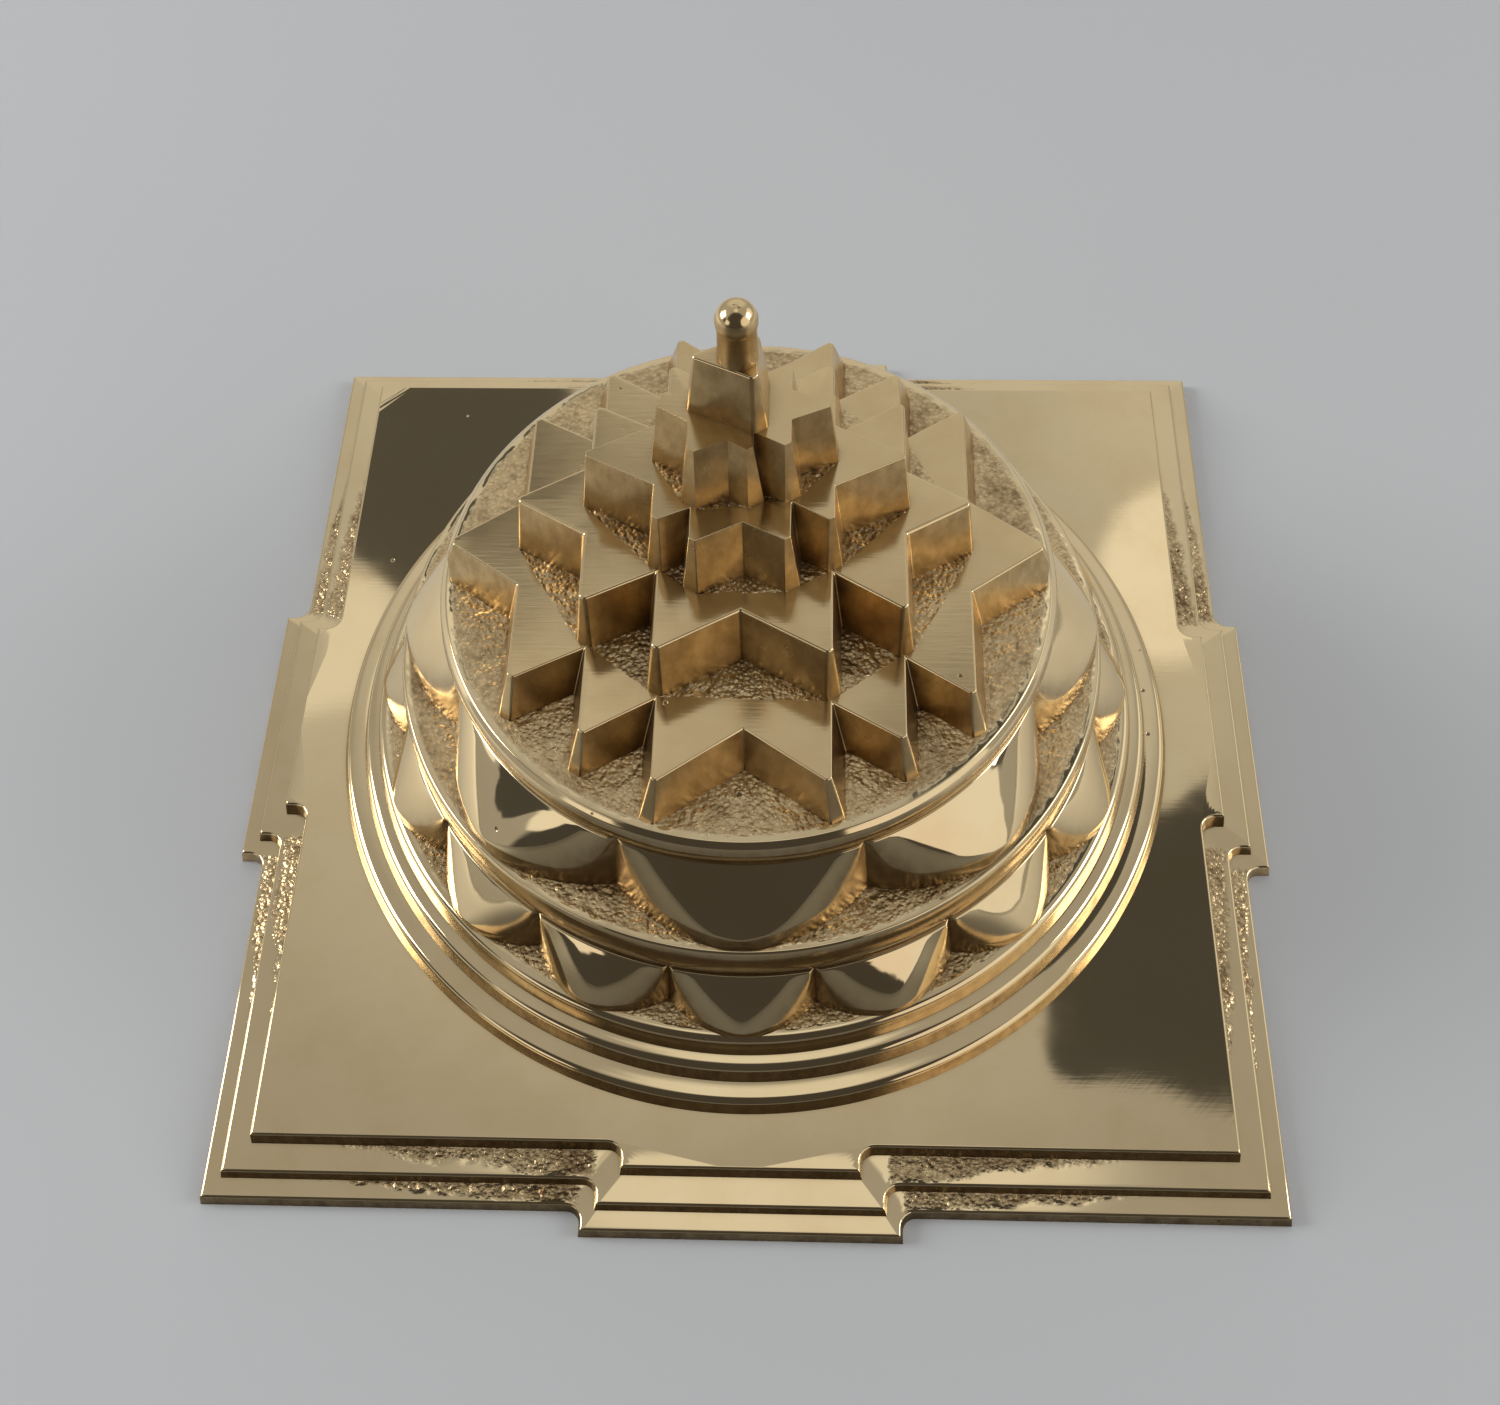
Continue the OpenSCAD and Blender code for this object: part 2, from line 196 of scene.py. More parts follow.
class Graph:
    """A node tree that is filled by one method."""

    def __init__(self, tree: bpy.types.NodeTree) -> None:
        """Keep the tree."""
        self.tree = tree

    def feed(self, socket: bpy.types.NodeSocket, given: object) -> None:
        """Link or set one input.

        Args:
            socket: The input.
            given: A value, an output socket, or a plain constant.
        """
        if isinstance(given, Value):
            self.tree.links.new(given.socket, socket)
        elif isinstance(given, bpy.types.NodeSocket):
            self.tree.links.new(given, socket)
        else:
            socket.default_value = given

    def node(
        self,
        kind: str,
        settings: Mapping[str, object] | None = None,
        inputs: Mapping[int | str, object] | None = None,
    ) -> bpy.types.Node:
        """Add a node.

        Args:
            kind: The node's type.
            settings: Properties that are set first.
            inputs: Values or links of its sockets.

        Returns:
            The new node.
        """
        made = self.tree.nodes.new(kind)
        for name, setting in (settings or {}).items():
            setattr(made, name, setting)
        for key, given in (inputs or {}).items():
            self.feed(made.inputs[key], given)
        return made

    def value(
        self,
        kind: str,
        settings: Mapping[str, object] | None = None,
        inputs: Mapping[int | str, object] | None = None,
        output: int | str = 0,
    ) -> Value:
        """Add a node and return one of its outputs as a value.

        Args:
            kind: The node's type.
            settings: Properties that are set first.
            inputs: Values or links of its sockets.
            output: Which output to return.

        Returns:
            The output.
        """
        return Value(self, self.node(kind, settings, inputs).outputs[output])

    def scaled(self, vector: Value, share: float) -> Value:
        """Return a vector times a number."""
        return self.value("ShaderNodeVectorMath", {"operation": "SCALE"}, {0: vector, "Scale": share})

    def blend(self, low: object, high: object, share: object) -> Value:
        """Mix two colours.

        Args:
            low: Colour at a share of 0.
            high: Colour at a share of 1.
            share: How far to mix.

        Returns:
            The mixed colour.
        """
        ends = {6: paint(low), 7: paint(high), 0: share}
        return self.value("ShaderNodeMix", {"data_type": "RGBA", "clamp_factor": True}, ends, 2)

    def cloud(self, place: Value, size: float, detail: float = 2.0, rough: float = 0.5) -> Value:
        """Add soft noise.

        Args:
            place: Where the noise is read.
            size: Size of its main features, in the place's own unit.
            detail: Number of finer layers.
            rough: Strength of the finer layers.

        Returns:
            Noise around one half.
        """
        given = {"Vector": place, "Scale": 1 / size, "Detail": detail, "Roughness": rough}
        return self.value("ShaderNodeTexNoise", None, given)

    def cells(self, place: Value, size: float, output: str = "Distance") -> Value:
        """Add a pattern of cells.

        Args:
            place: Where the pattern is read.
            size: Size of a cell, in the place's own unit.
            output: Which output to return.

        Returns:
            Distance to the middle of a cell, or the cell's own colour.
        """
        given = {"Vector": place, "Scale": 1 / size}
        return self.value("ShaderNodeTexVoronoi", {"feature": "F1"}, given, output)

    def dot(self, vector: Value, way: Sequence[float]) -> Value:
        """Return how far a vector runs along a unit way."""
        ends = {0: vector, 1: tuple(Vector(way).normalized())}
        return self.value("ShaderNodeVectorMath", {"operation": "DOT_PRODUCT"}, ends, "Value")


def paint(given: object) -> object:
    """Give a plain colour its fourth number.

    Args:
        given: A colour of three numbers, or anything else.

    Returns:
        The colour with alpha, or what was given.
    """
    return (*given, 1.0) if isinstance(given, tuple) and len(given) == 3 else given


class ShapeTree(Graph):
    """A tree of geometry nodes with named inputs."""

    def __init__(self, name: str) -> None:
        """Start a tree that takes and gives geometry.

        Args:
            name: The tree's name.
        """
        super().__init__(bpy.data.node_groups.new(name, "GeometryNodeTree"))
        self.identifiers: dict[str, str] = {}
        self.tree.interface.new_socket("Geometry", in_out="OUTPUT", socket_type="NodeSocketGeometry")
        self.entry = self.tree.nodes.new("NodeGroupInput")
        self.exit = self.tree.nodes.new("NodeGroupOutput")

    def given(self, name: str, kind: str) -> Value:
        """Add a named input.

        Args:
            name: The input's name.
            kind: The last word of the socket's type.

        Returns:
            The input as a value.
        """
        made = self.tree.interface.new_socket(name, in_out="INPUT", socket_type=f"NodeSocket{kind}")
        self.identifiers[name] = made.identifier
        return Value(self, self.entry.outputs[name])

    def attribute(self, name: str) -> Value:
        """Read a named number of the mesh."""
        return self.value("GeometryNodeInputNamedAttribute", {"data_type": "FLOAT"}, {"Name": name})

    def end(self, shape: object, material: Value) -> None:
        """Close the tree with real meshes in one material.

        Args:
            shape: The geometry so far.
            material: The material input.
        """
        real = self.value("GeometryNodeRealizeInstances", None, {0: shape})
        inputs = {"Geometry": real, "Material": material}
        self.feed(self.exit.inputs[0], self.value("GeometryNodeSetMaterial", None, inputs))

    def bake(self, piece: bpy.types.Object, **sizes: object) -> None:
        """Run the tree on a piece and keep the result as a plain mesh.

        Args:
            piece: The object whose mesh goes in.
            sizes: Inputs by name, with an underscore for a space.
        """
        modifier = piece.modifiers.new(self.tree.name, "NODES")
        modifier.node_group = self.tree
        for name, size in sizes.items():
            modifier[self.identifiers[name.replace("_", " ")]] = size
        graph = bpy.context.evaluated_depsgraph_get()
        mesh = bpy.data.meshes.new_from_object(
            piece.evaluated_get(graph), preserve_all_data_layers=True, depsgraph=graph
        )
        piece.modifiers.remove(modifier)
        piece.data = mesh


def turning_tree() -> ShapeTree:
    """Make the tree that turns a section round the Z axis.

    Returns:
        A tree whose geometry is the section as a row of points, with the radius along X. Points
        marked square lie on a square hole, and points marked ground are carried over.
    """
    tree = ShapeTree("turning")
    section = tree.given("Geometry", "Geometry")
    segments = tree.given("Segments", "Int")
    half_hole = tree.given("Half Hole", "Float")
    material = tree.given("Material", "Material")
    count = tree.value("GeometryNodeAttributeDomainSize", {"component": "MESH"}, {0: section})
    sheet = {"Vertices X": count + 1, "Vertices Y": segments + 1}
    sheet = tree.value("GeometryNodeMeshGrid", None, sheet)
    index = tree.value("GeometryNodeInputIndex")
    row = ((index + 0.5) / (segments + 1)).floor()
    angle = (index - row * (segments + 1)) * math.tau / segments
    station = row % count

    def sampled(kind: str, given: Value) -> Value:
        """Read a value at this row's station."""
        inputs = {"Geometry": section, "Value": given, "Index": station}
        return tree.value("GeometryNodeSampleIndex", {"data_type": kind, "domain": "POINT"}, inputs)

    spot = sampled("FLOAT_VECTOR", tree.value("GeometryNodeInputPosition"))
    parts = tree.node("ShaderNodeSeparateXYZ", None, {0: spot})
    radius, height = Value(tree, parts.outputs["X"]), Value(tree, parts.outputs["Z"])
    across = half_hole / abs(angle.cos()).larger(abs(angle.sin()))
    radius = radius.toward(across, sampled("FLOAT", tree.attribute("square")))
    place = {"X": radius * angle.cos(), "Y": radius * angle.sin(), "Z": height}
    place = tree.value("ShaderNodeCombineXYZ", None, place)
    marked = {"Geometry": sheet, "Name": "ground", "Value": sampled("FLOAT", tree.attribute("ground"))}
    stored = {"data_type": "FLOAT", "domain": "POINT"}
    marked = tree.value("GeometryNodeStoreNamedAttribute", stored, marked)
    turned = tree.value("GeometryNodeSetPosition", None, {"Geometry": marked, "Position": place})
    closed = tree.value("GeometryNodeMergeByDistance", None, {"Geometry": turned, "Distance": 1e-6})
    tree.end(closed, material)
    return tree


def round_tree() -> ShapeTree:
    """Make the tree that repeats a sector round the Z axis.

    Returns:
        The tree.
    """
    tree = ShapeTree("repeat_round")
    sector = tree.given("Geometry", "Geometry")
    count = tree.given("Count", "Int")
    start = tree.given("Start", "Float")
    material = tree.given("Material", "Material")
    spots = tree.value("GeometryNodePoints", None, {"Count": count})
    turn = tree.value("GeometryNodeInputIndex") * math.tau / count + start
    turn = tree.value("ShaderNodeCombineXYZ", None, {"Z": turn})
    turn = tree.value("FunctionNodeEulerToRotation", None, {0: turn})
    copies = {"Points": spots, "Instance": sector, "Rotation": turn}
    copies = tree.value("GeometryNodeInstanceOnPoints", None, copies)
    real = tree.value("GeometryNodeRealizeInstances", None, {0: copies})
    closed = tree.value("GeometryNodeMergeByDistance", None, {"Geometry": real, "Distance": 2e-6})
    tree.end(closed, material)
    return tree


def grain_tree() -> ShapeTree:
    """Make the tree that raises the grain of a cast skin on ground marked in the mesh.

    Returns:
        The tree, with the grain's size and height in millimetres.
    """
    tree = ShapeTree("cast_grain")
    shape = tree.given("Geometry", "Geometry")
    size = tree.given("Grain", "Float")
    height = tree.given("Height", "Float")
    sandy = tree.given("Sandy", "Float")
    shake = tree.given("Shake", "Float")
    seed = tree.given("Seed", "Int")
    material = tree.given("Material", "Material")
    ground = tree.attribute("ground")
    place = tree.scaled(tree.value("GeometryNodeInputPosition"), 1 / MM)
    place = tree.value("ShaderNodeVectorMath", {"operation": "ADD"}, {0: place, 1: (17.0, 5.0, 3.0)})
    lumps = {"Vector": place, "Scale": 0.42 / size, "Detail": 2.0}
    lumps = tree.value("ShaderNodeTexNoise", None, lumps) - 0.5
    hollows = {"Vector": place, "Scale": 0.16 / size, "Detail": 1.0}
    hollows = tree.value("ShaderNodeTexNoise", None, hollows) - 0.5
    sand = {"Vector": place, "Scale": 1 / size}
    sand = 0.45 - tree.value("ShaderNodeTexVoronoi", {"feature": "F1"}, sand)
    patch = {"Vector": place, "Scale": 0.25 / size, "Detail": 1.0}
    patch = tree.value("ShaderNodeTexNoise", None, patch).step(0.36, 0.6)
    rise = (lumps * 1.5 + hollows * 1.6 + sand * sandy * (0.3 + patch * 0.8)) * height * MM * ground
    sideways = {"data_type": "FLOAT_VECTOR"}
    spread = {0: (-1.0, -1.0, 0.0), 1: (1.0, 1.0, 0.0), "Seed": seed}
    spread = tree.value("FunctionNodeRandomValue", sideways, spread)
    shaken = {0: spread, "Scale": ground.step(0.9, 1.0) * shake * MM}
    shaken = tree.value("ShaderNodeVectorMath", {"operation": "SCALE"}, shaken)
    lift = tree.value("ShaderNodeCombineXYZ", None, {"Z": rise})
    offset = tree.value("ShaderNodeVectorMath", {"operation": "ADD"}, {0: shaken, 1: lift})
    moved = tree.value("GeometryNodeSetPosition", None, {"Geometry": shape, "Offset": offset})
    tree.end(moved, material)
    return tree


@dataclass(frozen=True)
class Skin:
    """Patterns on the surface of a brass piece, as values of its material.

    Attributes:
        ground: 1 on the rough skin.
        wall: 1 on upright walls.
        smudge: Broad uneven toning.
        toned: Finer uneven toning.
        streaks: Toning drawn out upwards.
        waves: Slow waves of hand polishing.
        marks: Fine polishing marks.
        grain: Distance from the middle of a grain.
        pits: Small pits of the rough skin.
        spots: 1 inside a blow hole.
        corner: Darkening in sheltered corners from ambient occlusion, partly real oxide and partly painted
            shade.
    """

    ground: Value
    wall: Value
    smudge: Value
    toned: Value
    streaks: Value
    waves: Value
    marks: Value
    grain: Value
    pits: Value
    spots: Value
    corner: Value


@dataclass(frozen=True)
class Brass:
    """A brass finish, with polished metal and the rough skin left on its ground.

    Attributes:
        name: Name of the material.
        slot: Slot of the record that it shows; not used.
        tint: Colour of the polished metal.
        warm: Colour of the polished metal where it has toned.
        wall: Colour of upright walls, darker partly from real toning and partly as painted shade.
        sand_low: Colour of the rough skin between its grains.
        sand_high: Colour of the rough skin on its grains.
        stain_and_shade: Colour of oxide and painted shade in corners, and of dirt in pits.
        gloss: Roughness of polished flats.
        wall_gloss: Roughness of upright walls.
        waviness: Height of the slow waves that hand polishing leaves, in millimetres.
        scratch: Depth of the fine polishing marks, in millimetres.
        tarnish_and_shade: How strongly corners and pits are darkened, by real oxide and by painted shade.
        wall_tone_and_shade: How strongly upright walls are darkened, partly by real toning and partly as
            painted shade.
        shelter: How far the oxide and painted shade of a corner spread, in millimetres.
        granular: How strongly single grains show in the rough skin.
    """

    name: str
    slot: Slot
    tint: Colour = (0.88, 0.70, 0.42)
    warm: Colour = (0.78, 0.58, 0.31)
    wall: Colour = (0.24, 0.155, 0.085)
    sand_low: Colour = (0.22, 0.135, 0.06)
    sand_high: Colour = (0.90, 0.68, 0.38)
    stain_and_shade: Colour = (0.13, 0.07, 0.03)
    gloss: float = 0.025
    wall_gloss: float = 0.2
    waviness: float = 0.010
    scratch: float = 0.0003
    tarnish_and_shade: float = 0.75
    wall_tone_and_shade: float = 0.85
    shelter: float = 0.8
    granular: float = 0.45

    def material(self) -> bpy.types.Material:
        """Make the material once.

        Returns:
            The material.
        """
        made = bpy.data.materials.get(self.name)
        if made is not None:
            return made
        made = bpy.data.materials.new(self.name)
        made.use_nodes = True
        made.node_tree.nodes.clear()
        graph = Graph(made.node_tree)
        skin = self._skin(graph)
        relief = {"Height": self._relief(skin), "Distance": MM, "Strength": 1.0}
        inputs = {
            "Base Color": self._colour(graph, skin),
            "Metallic": 1.0,
            "Roughness": self._roughness(skin),
            "Normal": graph.value("ShaderNodeBump", None, relief),
        }
        shader = graph.value("ShaderNodeBsdfPrincipled", None, inputs)
        graph.node("ShaderNodeOutputMaterial", None, {"Surface": shader})
        return made

    def _skin(self, graph: Graph) -> Skin:
        """Add the patterns that the finish is made of.

        Args:
            graph: The material's graph.

        Returns:
            The patterns.
        """
        place = graph.scaled(graph.value("ShaderNodeTexCoord", None, None, "Object"), 1 / MM)
        facing = graph.value("ShaderNodeNewGeometry", None, None, "Normal")
        upright = graph.node("ShaderNodeSeparateXYZ", None, {0: facing})
        toned = graph.cloud(place, size=2.2, detail=3.0, rough=0.6)
        drawn = graph.value("ShaderNodeMapping", None, {"Vector": place, "Scale": (1.0, 1.0, 0.5)})
        # Ambient occlusion finds sheltered corners, which are darkened by real oxide and by painted shade.
        around = {"samples": 6, "inside": False, "only_local": False}
        reach = {"Distance": self.shelter * MM}
        open_air = graph.value("ShaderNodeAmbientOcclusion", around, reach, "AO")
        return Skin(
            ground=graph.value("ShaderNodeAttribute", {"attribute_name": "ground"}, None, "Fac"),
            wall=1 - abs(Value(graph, upright.outputs["Z"])).step(0.25, 0.55),
            smudge=graph.cloud(place, size=7.0, detail=4.0, rough=0.6),
            toned=toned,
            streaks=graph.cloud(drawn, size=1.0, detail=3.0, rough=0.6),
            waves=graph.cloud(place, size=6.5, detail=1.0),
            marks=self._marks(graph, place, 0.5) + self._marks(graph, place, -0.9),
            grain=graph.cells(place, size=0.42),
            pits=graph.cloud(place, size=0.7, detail=4.0, rough=0.65),
            spots=self._spots(graph, place),
            corner=(1 - open_air).step(0.12, 0.8) * (0.3 + toned * 1.1),
        )

    def _colour(self, graph: Graph, skin: Skin) -> Value:
        """Mix the colour of the metal, its rough skin and its dirt, with real oxide and painted shade on
        upright walls and in corners.

        Args:
            graph: The material's graph.
            skin: The patterns.

        Returns:
            The colour.
        """
        metal = graph.blend(self.tint, self.warm, skin.smudge.step(0.35, 0.8) * 0.5)
        # Upright walls are darkened unevenly, partly by real toning of unpolished walls and partly as
        # painted shade.
        wall_shade_and_tone = 0.4 + skin.toned.step(0.25, 0.75) * 0.35 + skin.streaks.step(0.3, 0.7) * 0.35
        metal = graph.blend(metal, self.wall, skin.wall * wall_shade_and_tone * self.wall_tone_and_shade)
        dirty = skin.grain.step(0.15, 0.75) * self.granular
        dirty = dirty + skin.pits.step(0.42, 0.7) * 0.4 + skin.smudge.step(0.42, 0.7) * 0.45
        sand = graph.blend(self.sand_high, self.sand_low, dirty)
        colour = graph.blend(metal, sand, skin.ground)
        # Sheltered corners are darkened, partly as real oxide and partly as painted shade.
        colour = graph.blend(colour, self.stain_and_shade, skin.corner * self.tarnish_and_shade)
        return graph.blend(colour, self.stain_and_shade, skin.spots * 0.8)

    def _roughness(self, skin: Skin) -> Value:
        """Work out the roughness of flats, walls, rough skin and dirt.

        Args:
            skin: The patterns.

        Returns:
            The roughness.
        """
        rough = self.gloss + skin.smudge.step(0.45, 0.85) * 0.04 + skin.marks * self.gloss * 0.4
        rough = rough.toward(self.wall_gloss + skin.toned * 0.16, skin.wall)
        rough = rough.toward(0.1 + skin.pits * 0.2, skin.ground)
        return rough.toward(0.6, (skin.corner * self.tarnish_and_shade + skin.spots).step(0.2, 1.0))

    def _relief(self, skin: Skin) -> Value:
        """Work out the height of polishing marks, rough skin and blow holes.

        Args:
            skin: The patterns.

        Returns:
            The height, in millimetres.
        """
        polish = skin.waves * self.waviness + skin.marks * self.scratch
        polish = polish + (skin.toned * 0.03 + skin.pits * 0.012) * skin.wall * 0.35
        sandy = skin.pits * 0.11 - skin.grain * 0.075
        return polish.toward(sandy, skin.ground) - skin.spots * 0.05

    def _marks(self, graph: Graph, place: Value, turn: float) -> Value:
        """Add fine straight polishing marks.

        Args:
            graph: The material's graph.
            place: Where the marks are read, in millimetres.
            turn: Direction of the marks, in radians.

        Returns:
            Marks from 0 to 1.
        """
        lines = {"Vector": place, "Rotation": (0.0, 0.0, turn), "Scale": (0.22, 3.4, 1.6)}
        drawn = graph.value("ShaderNodeMapping", None, lines)
        return graph.cloud(drawn, size=1.0, detail=2.0, rough=0.6)

    def _spots(self, graph: Graph, place: Value) -> Value:
        """Add the few small blow holes of a casting.

        Args:
            graph: The material's graph.
            place: Where the holes are read, in millimetres.

        Returns:
            A mask that is 1 inside a hole.
        """
        spacing = 3.1
        near = graph.cells(place, spacing)
        chance = graph.node("ShaderNodeSeparateColor", None, {0: graph.cells(place, spacing, "Color")})
        chosen = Value(graph, chance.outputs[0]).step(0.9, 0.93)
        return (1 - near.step(0.04, 0.085)) * chosen


MIRROR = Brass("mirror_brass", Slot.POLISHED)
SATIN = Brass(
    "satin_brass",
    Slot.POLISHED,
    tint=(0.88, 0.67, 0.37),
    warm=(0.70, 0.49, 0.24),
    wall=(0.44, 0.30, 0.14),
    gloss=0.1,
    wall_gloss=0.22,
    waviness=0.03,
    scratch=0.003,
    wall_tone_and_shade=0.9,
    shelter=2.4,
    granular=0.2,
)
PETAL = Brass(
    "petal_brass",
    Slot.POLISHED,
    wall=(0.36, 0.25, 0.13),
    gloss=0.03,
    wall_gloss=0.16,
    waviness=0.012,
)
CAST = Brass(
    "skin_brass",
    Slot.CAST,
    sand_low=(0.32, 0.21, 0.10),
    gloss=0.05,
    wall_gloss=0.08,
    wall_tone_and_shade=0.5,
    shelter=1.3,
    granular=0.25,
)
BAR = Brass("drawn_brass", Slot.BAR, tint=(0.72, 0.54, 0.27), gloss=0.3, wall_gloss=0.34, scratch=0.006)


class Workshop:
    """Mesh work that several pieces share.

    Attributes:
        SOFT_ANGLE: Sharper edges than this are softened.
        SMOOTH_ANGLE: Flatter edges than this are shaded smooth.
        FLAT_ANGLE: Faces closer than this are one flat face.
        MERGE: Points closer than this are one point, in metres.
        SHAKE: How far points of rough ground are moved sideways, as a share of their spacing.
        ROUND_STEPS: Facets round the hole under the foot.
    """

    SOFT_ANGLE = math.radians(16)
    SMOOTH_ANGLE = math.radians(38)
    FLAT_ANGLE = math.radians(0.3)
    MERGE = 3e-6
    SHAKE = 0.22
    ROUND_STEPS = 64

    def __init__(self, nodes: Mapping[str, bpy.types.Object]) -> None:
        """Keep the solids and make the trees.

        Args:
            nodes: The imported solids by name.
        """
        self.nodes = nodes
        self.turning = turning_tree()
        self.round = round_tree()
        self.grain = grain_tree()

    def solid(self, node: str) -> bmesh.types.BMesh:
        """Copy a solid as a closed mesh with whole flat faces.

        Args:
            node: The solid's name.

        Returns:
            The copy.
        """
        form = bmesh.new()
        form.from_mesh(self.nodes[node].data)
        bmesh.ops.remove_doubles(form, verts=form.verts, dist=1e-6)
        bmesh.ops.dissolve_limit(
            form, angle_limit=self.FLAT_ANGLE, verts=form.verts, edges=form.edges
        )
        form.normal_update()
        return form

    def soften(
        self, form: bmesh.types.BMesh, width: float, rule: Callable[[bmesh.types.BMEdge], Edge]
    ) -> None:
        """Round the sharp edges of a solid.

        Args:
            form: The mesh.
            width: Width of the rounding, in millimetres.
            rule: Says which edges are softened.
        """
        sharp = [
            edge
            for edge in form.edges
            if len(edge.link_faces) == 2
            and edge.calc_face_angle(0.0) > self.SOFT_ANGLE
            and rule(edge) is Edge.SOFT
        ]
        bmesh.ops.bevel(
            form,
            geom=sharp,
            offset=width * MM,
            offset_type="OFFSET",
            segments=3,
            profile=0.5,
            affect="EDGES",
            clamp_overlap=True,
        )
        form.normal_update()

    def carve(
        self, form: bmesh.types.BMesh, faces: Iterable[bmesh.types.BMFace], area: Sequence[Point]
    ) -> list[bmesh.types.BMFace]:
        """Split flat faces along the sides of a convex area.

        Args:
            form: The mesh.
            faces: Faces that may lie in the area.
            area: Corners of the area in order, in millimetres.

        Returns:
            The faces inside the area.
        """
        inside = list(faces)
        middle = Vector((sum(p[0] for p in area), sum(p[1] for p in area), 0.0)) * (MM / len(area))
        for start, end in zip(area, [*area[1:], area[0]]):
            origin = Vector((*start, 0.0)) * MM
            way = Vector((*end, 0.0)) * MM - origin
            inward = Vector((-way.y, way.x, 0.0)).normalized()
            if inward.dot(middle - origin) < 0:
                inward.negate()
            parts = self.split(form, inside, origin, inward)
            inside = [face for face in parts if inward.dot(face.calc_center_median() - origin) > 0]
        return inside

    def split(
        self, form: bmesh.types.BMesh, faces: Sequence[bmesh.types.BMFace], origin: Vector, normal: Vector
    ) -> list[bmesh.types.BMFace]:
        """Cut faces with a plane.

        Args:
            form: The mesh.
            faces: The faces to cut.
            origin: A point of the plane.
            normal: The plane's normal.

        Returns:
            The faces after the cut.
        """
        if not faces:
            return []
        edges = dict.fromkeys(edge for face in faces for edge in face.edges)
        verts = dict.fromkeys(vert for face in faces for vert in face.verts)
        cut = bmesh.ops.bisect_plane(
            form, geom=[*faces, *edges, *verts], dist=1e-8, plane_co=origin, plane_no=normal
        )
        return [item for item in cut["geom"] if isinstance(item, bmesh.types.BMFace)]

    def grid(
        self, form: bmesh.types.BMesh, faces: Sequence[bmesh.types.BMFace], pitch: float
    ) -> list[bmesh.types.BMFace]:
        """Cut flat faces into a fine even grid.

        Args:
            form: The mesh.
            faces: The faces to cut.
            pitch: Size of the grid, in millimetres.

        Returns:
            The small faces.
        """
        small = list(faces)
        for axis in (0, 1):
            spots = [vert.co[axis] for face in small for vert in face.verts]
            low = math.floor(min(spots) / (pitch * MM))
            high = math.ceil(max(spots) / (pitch * MM))
            small = self._halve(form, small, axis, low, high, pitch * MM)
        return small

    def _halve(
        self,
        form: bmesh.types.BMesh,
        faces: Sequence[bmesh.types.BMFace],
        axis: int,
        low: int,
        high: int,
        pitch: float,
    ) -> list[bmesh.types.BMFace]:
        """Cut faces again and again at the middle grid line.

        Args:
            form: The mesh.
            faces: The faces to cut.
            axis: The axis that the grid lines cross.
            low: Number of the first grid line.
            high: Number of the last grid line.
            pitch: Size of the grid, in metres.

        Returns:
            The small faces.
        """
        if high - low < 2 or not faces:
            return list(faces)
        middle = (low + high) // 2
        normal = Vector((1.0, 0.0, 0.0)) if axis == 0 else Vector((0.0, 1.0, 0.0))
        line = middle * pitch
        parts = self.split(form, faces, normal * line, normal)
        below = [face for face in parts if face.calc_center_median()[axis] < line]
        above = [face for face in parts if face.calc_center_median()[axis] >= line]
        return [
            *self._halve(form, below, axis, low, middle, pitch),
            *self._halve(form, above, axis, middle, high, pitch),
        ]

    def mark(self, form: bmesh.types.BMesh, ground: Iterable[bmesh.types.BMFace]) -> None:
        """Mark the points inside a patch of ground, and leave its border polished.

        Args:
            form: The mesh.
            ground: Faces of the patch.
        """
        layer = form.verts.layers.float.get("ground") or form.verts.layers.float.new("ground")
        patch = set(ground)
        for vert in {vert for face in patch for vert in face.verts}:
            if all(face in patch for face in vert.link_faces):
                vert[layer] = 1.0

    def piece(self, name: str, form: bmesh.types.BMesh) -> bpy.types.Object:
        """Turn a mesh under work into an object.

        Args:
            name: The object's name.
            form: The mesh, which is used up.

        Returns:
            The object.
        """
        if form.verts.layers.float.get("ground") is None:
            form.verts.layers.float.new("ground")
        mesh = bpy.data.meshes.new(name)
        form.to_mesh(mesh)
        form.free()
        made = bpy.data.objects.new(name, mesh)
        bpy.context.scene.collection.objects.link(made)
        return made

    def close_round_hole(
        self,
        form: bmesh.types.BMesh,
        half: float,
        low: float,
        high: float,
        foot: tuple[float, float] | None = None,
    ) -> None:
        """Close the open top and foot of a form round its square hole.

        Args:
            form: The mesh, with an open edge at the foot and one at the top.
            half: Half the width of the hole.
            low: Height of the foot.
            high: Height of the top.
            foot: Radius and depth of a round hole under the foot, if there is one.
        """
        open_edges = [edge for edge in form.edges if len(edge.link_faces) == 1]
        below, above = (
            [edge for edge in open_edges if abs(edge.verts[0].co.z - level * MM) < 2e-5]
            for level in (low, high)
        )
        lower = self._square(form, half, low if foot is None else low + foot[1])
        if foot is not None:
            below = self._recess(form, below, foot[0], low, low + foot[1])
        self._fill(form, [*below, *self._ring(form, lower)])
        upper = self._square(form, half, high)
        self._fill(form, [*above, *self._ring(form, upper)])
        self.band(form, lower, upper)

    def _square(self, form: bmesh.types.BMesh, half: float, level: float) -> list[bmesh.types.BMVert]:
        """Add the four corners of a square hole at one level."""
        corners = [(-half, -half), (half, -half), (half, half), (-half, half)]
        return [form.verts.new((x * MM, y * MM, level * MM)) for x, y in corners]

    def _ring(
        self, form: bmesh.types.BMesh, verts: Sequence[bmesh.types.BMVert]
    ) -> list[bmesh.types.BMEdge]:
        """Return the edges between neighbours of a closed row of points."""
        pairs = [(verts[here - 1], verts[here]) for here in range(len(verts))]
        return [form.edges.get(pair) or form.edges.new(pair) for pair in pairs]

